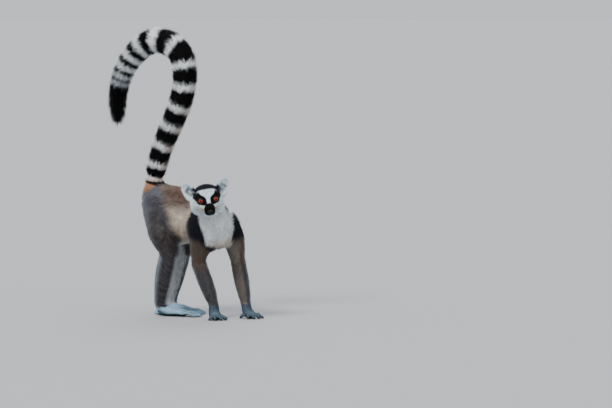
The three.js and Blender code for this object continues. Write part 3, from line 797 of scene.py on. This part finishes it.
def labelled(co):
    """Which solid of flesh each vertex lies nearest to."""
    places, faces, owner = joined(0)
    tree = BVHTree.FromPolygons(places.tolist(), faces.tolist())
    return owner[[tree.find_nearest(p)[2] for p in co.tolist()]]


def eye_place(co, side):
    """The way from an eye's middle to each place, its length (m), and its angle from the eye's gaze."""
    away = co - EYES[side]
    far = np.linalg.norm(away, axis=1)
    return away, far, np.arccos(np.clip(away @ gaze(side)[0] / np.maximum(far, 1e-9), -1, 1))


def fullness(co, family, net):
    """How far the coat stands beyond the solids (mm), on the crown, the back and rump, and the tail."""
    on_head, on_tail_part, on_body = (
        net.smooth(np.isin(family, names).astype(float), 8) for names in ("head", "tail", ("trunk", "thigh"))
    )
    crown = 6 * ramp(in_head(co)[:, 2], 18, 26) * on_head
    at = along_tail(co)
    tail = (4.5 + 2.5 * ramp(at, 280, 340)) * ramp(at, -5, 25) * on_tail_part
    body = 4 * ramp(on_breast(co)[1], -75, -25) * on_body
    return crown + tail + body


def face_share(co):
    """1 on the short-haired face, towards the muzzle and eyes, and 0 on the cheeks and crown."""
    left, forward, _ = in_head(co).T
    return ramp(forward - 0.15 * np.abs(left), 10, 26)


def lie_of_head(p):
    """Fur of the head lies back from the nose, and away from each eye."""
    way = unit(p - from_head((0, 50, -6))) - 0.25 * HEAD_UP
    for side in SIDES:
        away, far, _ = eye_place(p, side)
        ahead = gaze(side)[0]
        sideways = unit(away - (away @ ahead)[:, None] * ahead)
        way = mixed(way, sideways, 0.9 * ramp(17 * MM - far, 0, 5 * MM))
    return way


def lie_of_limb(name):
    """Fur of a limb lies along it, on the thighs also down and back, and on hands and feet nearly level."""
    _, start, end = LIMBS[FAMILY[name]]
    reaching = JOINT[f"{end}_{SIDE[name]}"] if end else middle(name)
    way = unit(reaching - JOINT[f"{start}_{SIDE[name]}"])
    if FAMILY[name] == "thigh":
        return 0.5 * way + 0.6 * DOWN + 0.35 * SPINE
    return way if end else way * LEVELLED


def lie_of_coat(co, label):
    """The direction in which the fur lies at each vertex, before smoothing."""
    lies = {
        "head": lambda p, name: lie_of_head(p),
        "ear": lambda p, name: unit(p - JOINT[name] + 6 * MM * DOWN) + 0.3 * HEAD_UP,
        "neck": lambda p, name: unit(JOINT["throat"] - JOINT["nape"]) + 0.5 * DOWN,
        "trunk": lambda p, name: SPINE + 0.55 * DOWN,
        "tail": lambda p, name: TAIL_WAY[on_tail(p)],
    }
    way = np.zeros_like(co)
    for i, name in enumerate(FLESH):
        mine = label == i
        if mine.any():
            family = FAMILY[name]
            way[mine] = unit(lies[family](co[mine], name) if family in lies else lie_of_limb(name))
    return way


def relaxed(co, family, net):
    """The outline smoothed: most on the body, less on the head, and least on ears, hands and feet."""
    fine = net.smooth(np.isin(family, FINE).astype(float), 12)
    body = net.smooth(1 - (family == "head").astype(float), 14) * (1 - fine)
    smoothed = net.smooth(co, *EVEN)
    rough = net.smooth(smoothed, *ROUGH)
    gentle = net.smooth(co, *GENTLE)
    return smoothed + (rough - smoothed) * body[:, None] + (gentle - smoothed) * fine[:, None]


def coat_fields(outer, co, label, family, net):
    """How the coat is at each vertex: its depth, and its tufts' length, width, density and rise (mm).

    Outer are the vertices of the outline before it was smoothed.
    """
    face = (family == "head").astype(float)
    left, forward, height = in_head(outer).T
    ruff = bump(np.abs(left) - 27, 9) * bump(height + 9, 15) * ramp(22 - forward, 0, 12) * net.smooth(face, 6)
    crown = ramp(height, 18, 26) * net.smooth(face, 8)
    share = face_share(co) * net.smooth(face, 6)
    by_eye = np.max([ramp(15 * MM - eye_place(co, side)[1], 0, 5 * MM) for side in SIDES], axis=0)
    by_tail = bump(dist(co, TAIL_LINE[0]), 22) * net.smooth((family == "trunk").astype(float), 4)
    table = np.array([COAT[FAMILY[name]] for name in FLESH], float)[label]
    depth, length, width, density = (net.smooth(table[:, k], rounds) for k, rounds in enumerate(BLENDS))
    return {
        "depth": depth * (1 - 0.8 * share),
        "length": length * (1 - 0.6 * share) * (1 - 0.45 * by_eye) + 7 * ruff + 3.5 * crown - 7 * by_tail,
        "proud": ruff * np.where(left < 0, 6, 2) + fullness(co, family, net),
        "width": width * (1 - 0.45 * share),
        "density": density * (1 + 0.9 * share),
    }


def make_skin():
    """The skin's mesh and what the coat needs to know at each vertex."""
    mesh = outline()
    outer, tri = points_of(mesh), triangles_of(mesh)
    net = Net(mesh)
    label = labelled(outer)
    family = np.array([FAMILY[name] for name in FLESH])[label]
    co = relaxed(outer, family, net)
    up = normals_at(co, tri)
    fields = coat_fields(outer, co, label, family, net)
    way = lie_of_coat(co, label)
    for _ in range(6):
        way = tangent(net.smooth(way, 8), up)
    skin = net.smooth(co - up * (fields["depth"] * MM)[:, None], *SETTLED)
    skin = face_shapes(skin, up)
    skin[:, 2] = np.maximum(skin[:, 2], SKIN_FLOOR)
    mesh.vertices.foreach_set("co", skin.astype(np.float32).ravel())
    mesh.update()
    up = normals_at(skin, tri)
    mesh.polygons.foreach_set("use_smooth", np.full(len(mesh.polygons), True))
    # the skin takes the coat's markings, darkened as painted shade under the coat
    paint(mesh, net.smooth(painted(label, skin, up), 1, 0.5) * SKIN_SHADE)
    return mesh, dict(fields, co=skin, tri=tri, up=up, way=tangent(way, up), label=label)


def face_shapes(co, up):
    """Whisker pads, the mouth's line, the hollow between the eyes, and the skin round the eyeballs."""
    left, forward, height = in_head(co).T
    across = np.abs(left)
    near = (forward > 5) & (np.abs(height) < 40) & (across < 40)
    pads = bump(across - 6.5, 4) * bump(forward - 43, 6) * bump(height + 17, 5)
    mouth = -1.1 * bump(height + 22 + 0.05 * (forward - 40), 0.9) * ramp(forward, 24, 30)
    hollow = -1.2 * bump(across, 5) * bump(forward - 27, 7) * bump(height - 8, 8)
    co = co + up * (np.where(near, pads + mouth + hollow, 0) * MM)[:, None]
    for side in SIDES:
        away, far, angle = eye_place(co, side)
        lid = ramp(angle, LID_EDGE - 0.1, LID_EDGE + 0.05) * ramp(1.9 - angle, 0, 0.6)
        inside = (1 - ramp(angle, LID_EDGE - 0.15, LID_EDGE)) * (far < 1.5 * EYE_RADIUS)
        wanted = far + (np.maximum(far, EYE_RADIUS + 0.5 * MM) - far) * lid
        wanted = wanted + (np.minimum(wanted, EYE_RADIUS - 1.2 * MM) - wanted) * inside
        co = EYES[side] + away * (wanted / far)[:, None]
    return co


# ---------------------------------------------------------------- the coat
def sampled(skin, family, extra):
    """Roots of tufts spread over one family of parts, by the density that the coat has there."""
    co, tri = skin["co"], skin["tri"]
    owner = skin["label"][tri[:, 0]]
    mine = np.array([FAMILY[name] == family for name in FLESH])[owner]
    tri, owner = tri[mine], owner[mine]
    area = np.linalg.norm(np.cross(co[tri[:, 1]] - co[tri[:, 0]], co[tri[:, 2]] - co[tri[:, 0]]), axis=1) / 2
    wanted = area * SQUARE_CM * skin["density"][tri].mean(1) * extra
    total = np.concatenate([[0], np.cumsum(wanted)])
    count = int(total[-1])
    at = (np.arange(count) + rng.random(count)) * total[-1] / count
    face = np.clip(np.searchsorted(total, at, side="right") - 1, 0, len(tri) - 1)
    u, v = rng.random((2, count))
    flip = u + v > 1
    u, v = np.where(flip, 1 - u, u), np.where(flip, 1 - v, v)
    weights = np.stack([1 - u - v, u, v], axis=1)
    roots = {}
    for key in ("co", "up", "way", "depth", "length", "width", "proud"):
        corners = skin[key][tri[face]]
        roots[key] = (corners * (weights if corners.ndim == 2 else weights[..., None])).sum(1)
    roots["up"] = unit(roots["up"])
    roots["way"] = tangent(roots["way"], roots["up"])
    roots["owner"] = owner[face]
    if family == "head":
        far, angle = np.min([eye_place(roots["co"], side)[1:] for side in SIDES], axis=0)
        roots = picked(roots, ~((angle < LID_EDGE + 0.03) & (far < 1.4 * EYE_RADIUS)))
    return roots


def tuft_mesh(roots, rings):
    """Tapering three-sided tufts that rise from the skin and bend back along it.

    Gives the vertices, the way that each faces, how far along its tuft each lies, and the faces.
    """
    count, per = len(roots["co"]), 3 * rings + 1
    up, way = roots["up"], roots["way"]
    side = np.cross(way, up)
    length, width = roots["length"][:, None] * MM, roots["width"][:, None] * MM
    height = roots["depth"] + roots["proud"]
    lift = np.clip(height / (roots["length"] * (1 - CURVE)), LEAST_LIFT, MOST_LIFT)[:, None]
    flat = np.sqrt(1 - lift**2)
    places, normals, shares = [], [], []
    for share, wide in zip(RING_SHARES[rings], RING_WIDTHS[rings]):
        rise = lift * share * (1 - CURVE * share)
        spine = roots["co"] + length * (way * flat * share + up * rise)
        spine = spine + side * length * roots["sway"][:, None] * share**2
        if share == 0:
            spine = spine - up * SUNK * width
        for x, z in [(0, 0)] if share == 1 else [(-0.5, 0), (0.5, 0), (0, RIDGE)]:
            places.append(spine + (side * x + up * z) * width * wide)
            normals.append(unit(up + side * x * 0.7 + way * 0.12 * share))
            shares.append(np.full(count, share))
    faces = [[0, 1, 2]]
    for a in range(0, per - 4, 3):
        for k in range(3):
            b = (k + 1) % 3
            faces += [[a + k, a + 3 + b, a + b], [a + k, a + 3 + k, a + 3 + b]]
    a = per - 4
    faces += [[a + 1, a, per - 1], [a + 2, a + 1, per - 1], [a, a + 2, per - 1]]
    co, normals = (np.stack(values, axis=1).reshape(-1, 3) for values in (places, normals))
    return co, normals, np.stack(shares, axis=1).ravel(), repeated(faces, count, per)


def clumped(roots, spacing, density):
    """Turns tufts towards the middle of their clump, and gives the tone of each tuft's clump."""
    count = len(roots["co"])
    centres = roots["co"][rng.permutation(count)[: max(1, int(count / density / spacing**2))]]
    tree = KDTree(len(centres))
    for i, p in enumerate(centres):
        tree.insert(p, i)
    tree.balance()
    nearest = np.array([tree.find(p)[1] for p in roots["co"].tolist()])
    pull = PULL * (centres[nearest] - roots["co"]) / (roots["length"][:, None] * MM)
    roots["way"] = tangent(roots["way"] + pull, roots["up"])
    return rng.normal(0, 1, len(centres))[nearest]


def coat_piece(name, slot, roots, rings, root_uv, shades=(1, 1), rounded=0):
    """One piece of coat, from its roots and their places on the map.

    Shades are those of the tufts' roots and tips: painted shade darkens the roots, among the tufts, and the
    tips are lighter. Rounded is how much each tuft shades as a form of its own.
    """
    co, up, share, faces = tuft_mesh(roots, rings)
    co[:, 2] = np.maximum(co[:, 2], COAT_FLOOR)
    per = len(co) // len(root_uv)
    mesh = mesh_from(name, co, faces)
    # painted shade at each tuft's root, lighter at its tip
    shade = shades[0] + (shades[1] - shades[0]) * share
    paint(mesh, np.repeat(roots["colour"], per, axis=0) * shade[:, None])
    bake_map(mesh, root_uv, share, per, faces)
    if rounded:
        up = unit(up + rounded * normals_at(co, faces))
    mesh.normals_split_custom_set_from_vertices(up.astype(np.float32))
    shown(name, mesh, FUR, slot)


def coat_of(skin, family, extra):
    """The coat of one family of parts, as pieces of fewer than 200,000 triangles."""
    density, rings = COAT[family][3:]
    roots = sampled(skin, family, extra)
    count = len(roots["co"])
    tone = clumped(roots, CLUMP[family], density * extra / 100) if family in CLUMP else np.zeros(count)
    turn = rng.normal(0, TURN, count)[:, None]
    roots["way"] = unit(roots["way"] + np.cross(roots["way"], roots["up"]) * turn)
    roots["length"] *= rng.uniform(*LENGTHS, count)
    roots["width"] *= rng.uniform(*WIDTHS, count)
    stray = 1 + STRAY_RISE * (rng.random(count) > 1 - STRAYS)
    roots["depth"] *= rng.uniform(*DEPTHS, count) * (1 + 0.1 * tone) * stray
    roots["sway"] = rng.normal(0, SWAY, count)
    ahead = roots["co"] + roots["way"] * (roots["length"] * SEEN_AT * MM)[:, None]
    tint = (1 + TINT * rng.normal(0, 1, count) + CLUMP_TINT * tone).clip(0.5, 1.6)
    roots["colour"] = painted(roots["owner"], ahead, roots["up"]) * tint[:, None]
    if family in SOLE:
        roots = picked(roots, roots["up"][:, 2] > SOLE[family])
        count = len(roots["co"])
    pieces = math.ceil(count * (6 * rings - 2) / PIECE_LIMIT)
    order = rng.permutation(count)
    for n in range(pieces):
        mine = picked(roots, order[n::pieces])
        root_uv = unwrapped(mine, family)
        rounded = EAR_ROUNDING if family == "ear" else 0
        coat_piece(f"coat_{family}_{n + 1}", SLOT[family], mine, rings, root_uv, SHADES, rounded)


# ---------------------------------------------------------------- the map, an unwrap of the skin's own shape
def bake_map(mesh, root_uv, share, per, faces):
    """OFBake: each tuft is a small patch at its root's place on the unwrapped skin."""
    corner = np.tile([-0.5, 0.5, 0.0], per // 3 + 1)[:per]
    corner[-1] = 0
    uv = np.repeat(root_uv, per, axis=0)
    uv[:, 0] += PATCH * np.tile(corner, len(root_uv))
    uv[:, 1] += PATCH * (share - 0.5)
    layer = mesh.uv_layers.new(name="OFBake")
    layer.data.foreach_set("uv", uv[faces.ravel()].astype(np.float32).ravel())


def unrolled(p, name):
    """A part rolled open round its own axis: the angle round it, and the place along it."""
    if FAMILY[name] == "tail":
        near = on_tail(p)
        axis, away, along = TAIL_WAY[near], p - TAIL_LINE[near], TAIL_AT[near]
        side = unit(np.cross(axis, (0.96, 0.29, 0)))
    else:
        low, high = (np.array(corner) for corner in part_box(name))
        axis = np.eye(3)[np.argmax(high - low)]
        away, along = p - (low + high) / 2, p @ axis
        side = unit(np.cross(axis, (0.3, 1, 0.2)))
    other = np.cross(axis, side)
    angle = np.arctan2((away * other).sum(1), (away * side).sum(1))
    return np.stack([angle, along], axis=1)


def unwrapped(roots, family):
    """The roots' places on the map. The parts of a family lie side by side, and the tail is one part."""
    whole = family == "tail"
    names = TAIL[:1] if whole else [name for name in FLESH if FAMILY[name] == family]
    columns = math.ceil(math.sqrt(len(names)))
    uv = np.empty((len(roots["co"]), 2))
    for cell, name in enumerate(names):
        mine = (roots["owner"] == FLESH.index(name)) | whole
        if mine.any():
            places = unrolled(roots["co"][mine], name)
            low, high = places.min(0), places.max(0)
            share = (places - low) / np.maximum(high - low, 1e-9)
            corner = np.array([cell % columns, cell // columns])
            uv[mine] = (corner + MAP_MARGIN + (1 - 2 * MAP_MARGIN) * share) / columns
    return uv


# ---------------------------------------------------------------- materials
def blank_material(name, settings):
    """A new material with its nodes, its links and its shader, which has the given settings."""
    made = bpy.data.materials.new(name)
    made.use_nodes = True
    nodes, links = made.node_tree.nodes, made.node_tree.links
    shader = nodes["Principled BSDF"]
    for socket, value in settings.items():
        shader.inputs[socket].default_value = value
    return made, nodes, links, shader


def noise(nodes, links, scale, detail):
    where = nodes.new("ShaderNodeTexCoord")
    texture = nodes.new("ShaderNodeTexNoise")
    texture.inputs["Scale"].default_value = scale
    texture.inputs["Detail"].default_value = detail
    links.new(where.outputs["Object"], texture.inputs["Vector"])
    return texture.outputs["Fac"]


def material(name):
    """The painted colour, darkened and lightened by noises, with the first noise as its bump."""
    settings, noises, relief = MATERIALS[name]
    made, nodes, links, shader = blank_material(name, settings)
    values = [noise(nodes, links, scale, detail) for scale, detail, _, _ in noises]
    attribute = nodes.new("ShaderNodeAttribute")
    attribute.attribute_name = "Coat"
    colour = attribute.outputs["Color"]
    for value, (_, _, darkest, lightest) in zip(values, noises):
        remap = nodes.new("ShaderNodeMapRange")
        bounds = {"From Min": NOISE_LOW, "From Max": NOISE_HIGH, "To Min": darkest, "To Max": lightest}
        for socket, bound in bounds.items():
            remap.inputs[socket].default_value = bound
        links.new(value, remap.inputs["Value"])
        scaled = nodes.new("ShaderNodeVectorMath")
        scaled.operation = "SCALE"
        links.new(colour, scaled.inputs[0])
        links.new(remap.outputs["Result"], scaled.inputs["Scale"])
        colour = scaled.outputs["Vector"]
    links.new(colour, shader.inputs["Base Color"])
    if relief:
        node = nodes.new("ShaderNodeBump")
        node.inputs["Distance"].default_value, node.inputs["Strength"].default_value = relief
        links.new(values[0], node.inputs["Height"])
        links.new(node.outputs["Normal"], shader.inputs["Normal"])
    return made


# ---------------------------------------------------------------- eyes and lids
def eye(side, surface):
    """An eyeball that bulges a little over its iris, which has fine rays and darkens outward to a dark rim,
    partly its own colour and partly painted shade for its depth.
    """
    polar = np.radians(np.concatenate([np.linspace(*EYE_FRONT), np.linspace(*EYE_BACK)]))
    polar = np.tile(polar[:, None], (1, EYE_STEPS))
    bulge = EYE_BULGE * ramp(IRIS_EDGE * 1.1 - polar, 0, IRIS_EDGE)
    co, faces = revolved(*gaze(side), EYES[side], polar, EYE_RADIUS + bulge)
    mesh = mesh_from(f"eye_{side}", co, faces)
    angle = polar.ravel()
    turn = np.tile(turns(EYE_STEPS), len(polar))
    rays = 1 + 0.12 * np.sin(turn * 17) * np.sin(turn * 5 + 1)
    # the iris darkens from the pupil to its edge: partly its own colour, partly painted shade for its depth
    colour = mixed(full(ORANGE, angle), RUST, ramp(angle, PUPIL_EDGE, IRIS_EDGE)) * rays[:, None]
    colour = mixed(colour, EYEBALL, ramp(angle, IRIS_EDGE - 0.07, IRIS_EDGE))
    paint(mesh, mixed(colour, PUPIL, 1 - ramp(angle, PUPIL_EDGE - 0.02, PUPIL_EDGE + 0.02)))
    shown(f"eyeball_{side}", mesh, surface, "eye", f"eye_{side}")


def lid_opening(turn):
    """The angle from the gaze at which the lids open, almond-shaped and lowered above."""
    high = np.where(np.sin(turn) > 0, LID_ABOVE, LID_BELOW)
    return 1 / np.hypot(np.cos(turn) / LID_WIDE, np.sin(turn) / high)


def lids(side, surface):
    """Black lids that hug the eyeball and sink into the skin."""
    out, rise = np.array(LID_RINGS).T[..., None]
    polar = lid_opening(turns(LID_STEPS)) + np.radians(out)
    co, faces = revolved(*gaze(side), EYES[side], polar, EYE_RADIUS + rise * MM)
    mesh = mesh_from(f"lids_{side}", co, faces)
    paint(mesh, LID)
    shown(f"lids_{side}", mesh, surface, "skin")


def lid_hair(side):
    """Short dark hair on the lids, lying away from the eye."""
    ahead, right, above = gaze(side)
    turn = rng.uniform(0, 2 * math.pi, LID_HAIRS)
    out = rng.uniform(*LID_HAIR_BAND, LID_HAIRS)
    polar = lid_opening(turn) + np.radians(out)
    radius = EYE_RADIUS + np.interp(out, *zip(*LID_RINGS)) * MM
    around = np.cos(turn)[:, None] * right + np.sin(turn)[:, None] * above
    up = unit(np.cos(polar)[:, None] * ahead + np.sin(polar)[:, None] * around)
    roots = {
        "co": EYES[side] + up * radius[:, None],
        "up": up,
        "way": unit(np.cos(polar)[:, None] * around - np.sin(polar)[:, None] * ahead),
        "length": rng.uniform(1.6, 2.6, LID_HAIRS) * (0.7 + out / 80),
        "width": rng.uniform(0.4, 0.6, LID_HAIRS),
        "depth": rng.uniform(0.25, 0.6, LID_HAIRS),
        "proud": np.zeros(LID_HAIRS),
        "sway": rng.normal(0, 0.12, LID_HAIRS),
        "colour": BLACK * rng.uniform(0.8, 1.6, LID_HAIRS)[:, None],
    }
    root_uv = np.stack([turn / (2 * math.pi), out / 60], axis=1) * 0.9 + 0.05
    coat_piece(f"coat_lids_{side}", "fur_white", roots, 1, root_uv)


# ---------------------------------------------------------------- nose, nails and whiskers
def ball(rings, steps, pole, sizes):
    """Places on a ball with three half sizes, as (across, ahead, up), in rings round the middle one."""
    polar, turn = np.linspace(pole, math.pi - pole, rings)[:, None], turns(steps)
    places = [np.cos(turn) * np.sin(polar), np.cos(polar) * np.ones(steps), np.sin(turn) * np.sin(polar)]
    return [size * place.ravel() for size, place in zip(sizes, places)]


def nose(surface):
    """The bare nose, with a nostril on each side and a groove below."""
    x, y, z = ball(NOSE_RINGS, NOSE_STEPS, NOSE_POLE, NOSE_SIZE)
    y = y - 0.9 * ramp(-z, 0, 5) + 0.6 * bump(x, 3) * bump(z - 1.5, 3)
    across, front = np.abs(x), y > 0
    hole = bump(np.hypot(across - 3.3, (z + 0.2) * 1.4), 1.05) * front
    slit = bump(z + 0.8 - 0.15 * (across - 3), 0.7) * ramp(across, 2.6, 4.2) * front
    groove = bump(x, 0.55) * ramp(-z, -0.5, 1.5) * front
    y = y - 2.6 * hole - 1.3 * slit - 0.8 * groove
    places = NOSE + np.stack([x, y, z], axis=1) @ HEAD_AXES * MM
    mesh = mesh_from("nose_skin", places, ring_faces(NOSE_RINGS, NOSE_STEPS))
    # the nostrils and slits are painted darker: painted shade in their hollows
    paint(mesh, NOSE_BLACK * np.clip(1 - 0.75 * (hole + 0.5 * slit), 0.15, 1)[:, None])
    shown("nose_skin", mesh, surface, "skin", "nose")


def digit_tips(node, start):
    """The tip of each digit of a hand or foot: where the solid reaches furthest from the wrist or ankle."""
    co = SOLIDS[node][0]
    reach = np.linalg.norm(co - start, axis=1)
    tips = []
    for i in np.argsort(-reach):
        around = np.linalg.norm(co - co[i], axis=1) < DIGIT_SPREAD
        clear = all(np.linalg.norm(co[i] - tip) > DIGIT_SPREAD for tip in tips)
        if clear and reach[i] >= reach[around].max() - 1e-9:
            tips.append(co[i])
    return tips[:DIGITS]


def nails(node, skin_tree, surface):
    """A small curved nail on the top of each digit's tip."""
    part, side = node.split("_")
    solid, size = SOLIDS[node][0], NAIL_SIZE[part] * MM
    x, y, z = ball(NAIL_RINGS, NAIL_STEPS, NAIL_POLE, NAIL_SHAPE)
    z = z - 0.35 * x**2 - 0.15 * y**2 * (y > 0)
    places = []
    for tip in digit_tips(node, JOINT[f"{LIMBS[part][1]}_{side}"]):
        digit = solid[np.linalg.norm(solid - tip, axis=1) < 9 * MM].mean(axis=0)
        way = unit(tip - digit)
        above = unit(-DOWN - way * way[2])
        seat = skin_tree.find_nearest(Vector(tip - way * 0.45 * size + above * 4 * MM))[0]
        axes = np.array([np.cross(way, above), way, above])
        places.append(np.array(seat) + np.stack([x, y, z], axis=1) @ axes * size)
    faces = repeated(triangles(ring_faces(NAIL_RINGS, NAIL_STEPS)), len(places), len(x))
    mesh = mesh_from(f"nails_{node}", np.concatenate(places), faces)
    paint(mesh, NAIL)
    shown(f"nails_{node}", mesh, surface, "skin")


def whiskers(skin_tree, surface):
    """Fine dark bristles in rows on both sides of the muzzle."""
    places = []
    for out, row, place in product((-1, 1), range(WHISKER_ROWS), range(WHISKERS_IN_ROW)):
        spot = from_head((out * (9 - 0.5 * row), 44 - WHISKER_GAP * place, -11 - WHISKER_GAP * row))
        root = np.array(skin_tree.find_nearest(Vector(spot))[0])
        way = unit(np.array([out, 0.35 - 0.3 * place, 0.25 - 0.3 * row]) @ HEAD_AXES)
        length = (15 + 3 * place + 3 * rng.random()) * MM
        side = unit(np.cross(way, HEAD_UP))
        other = np.cross(way, side)
        for share in WHISKER_RINGS:
            spine = root + length * (way * share - 0.25 * HEAD_UP * share**2) - way * 0.6 * MM
            wide = WHISKER_WIDTH * (1 - 0.8 * share)
            places += [spine + (side * math.cos(turn) + other * math.sin(turn)) * wide for turn in turns(3)]
    ends = [[0, 2, 1], [9, 10, 11]]
    faces = np.concatenate([triangles(ring_faces(len(WHISKER_RINGS), 3)), ends])
    mesh = mesh_from("whiskers", np.array(places), repeated(faces, len(places) // 12, 12))
    paint(mesh, BLACK)
    shown("whiskers", mesh, surface, "skin")


# ---------------------------------------------------------------- floor, light and camera
def make_floor():
    """A wide grey floor, slightly uneven in colour."""
    corners = np.array([(-1, -1, 0), (1, -1, 0), (1, 1, 0), (-1, 1, 0)], float)
    mesh = mesh_from("floor", corners * FLOOR_REACH, [[0, 1, 2, 3]])
    made, nodes, links, shader = blank_material("floor", {"Roughness": 0.9})
    tint = nodes.new("ShaderNodeMix")
    tint.data_type = "RGBA"
    tint.inputs["A"].default_value, tint.inputs["B"].default_value = FLOOR_TINTS
    links.new(noise(nodes, links, *FLOOR_NOISE), tint.inputs["Factor"])
    links.new(tint.outputs["Result"], shader.inputs["Base Color"])
    mesh.materials.append(made)
    placed("floor", mesh)


def direction(azimuth, elevation):
    """The direction from the animal to a camera or light, from angles in degrees."""
    a, e = math.radians(azimuth), math.radians(elevation)
    return np.array([math.sin(a) * math.cos(e), -math.cos(a) * math.cos(e), math.sin(e)])


def make_lights():
    """An even sky and broad soft lights."""
    world = bpy.data.worlds.new("studio")
    bpy.context.scene.world = world
    world.use_nodes = True
    sky = world.node_tree.nodes["Background"].inputs
    sky["Color"].default_value, sky["Strength"].default_value = WORLD_COLOUR, WORLD_STRENGTH
    for name, (azimuth, elevation, strength, spread, colour) in LIGHTS.items():
        data = bpy.data.lights.new(name, "SUN")
        data.energy, data.angle, data.color = strength, math.radians(spread), colour
        ahead = Vector(-direction(azimuth, elevation))
        placed(name, data).rotation_euler = ahead.to_track_quat("-Z", "Y").to_euler()


def make_camera():
    """The photo's camera, placed by where the point between the eyes lies in its frame."""
    back = direction(AZIMUTH, ELEVATION)
    right = unit(np.cross(-DOWN, back))
    across = (FRAME_WIDTH / 2 - EYES_PIXEL[0]) * PIXEL
    rise = (EYES_PIXEL[1] - FRAME_HEIGHT / 2) * PIXEL
    data = bpy.data.cameras.new("camera")
    data.sensor_width = SENSOR
    data.lens = SENSOR * DISTANCE / (FRAME_WIDTH * PIXEL)
    data.clip_end = 1000
    camera = placed("camera", data)
    camera.location = EYES_MIDDLE + right * across + np.cross(back, right) * rise + back * DISTANCE
    camera.rotation_mode = "QUATERNION"
    camera.rotation_quaternion = Vector(-back).to_track_quat("-Z", "Y")
    bpy.context.scene.camera = camera


# ---------------------------------------------------------------- the whole
FUR = material("fur")
skin_mesh, skin = make_skin()
shown("skin", skin_mesh, material("skin"), "skin", *FLESH)
for family in COAT:
    coat_of(skin, family, 1.0)

eye_surface, bare = material("eye"), material("bare_skin")
for side in SIDES:
    eye(side, eye_surface)
    lids(side, bare)
    lid_hair(side)
nose(bare)

skin_tree = BVHTree.FromPolygons(skin["co"].tolist(), skin["tri"].tolist())
for side in SIDES:
    nails(f"hand_{side}", skin_tree, bare)
    nails(f"foot_{side}", skin_tree, bare)
whiskers(skin_tree, bare)

make_floor()
make_lights()
make_camera()
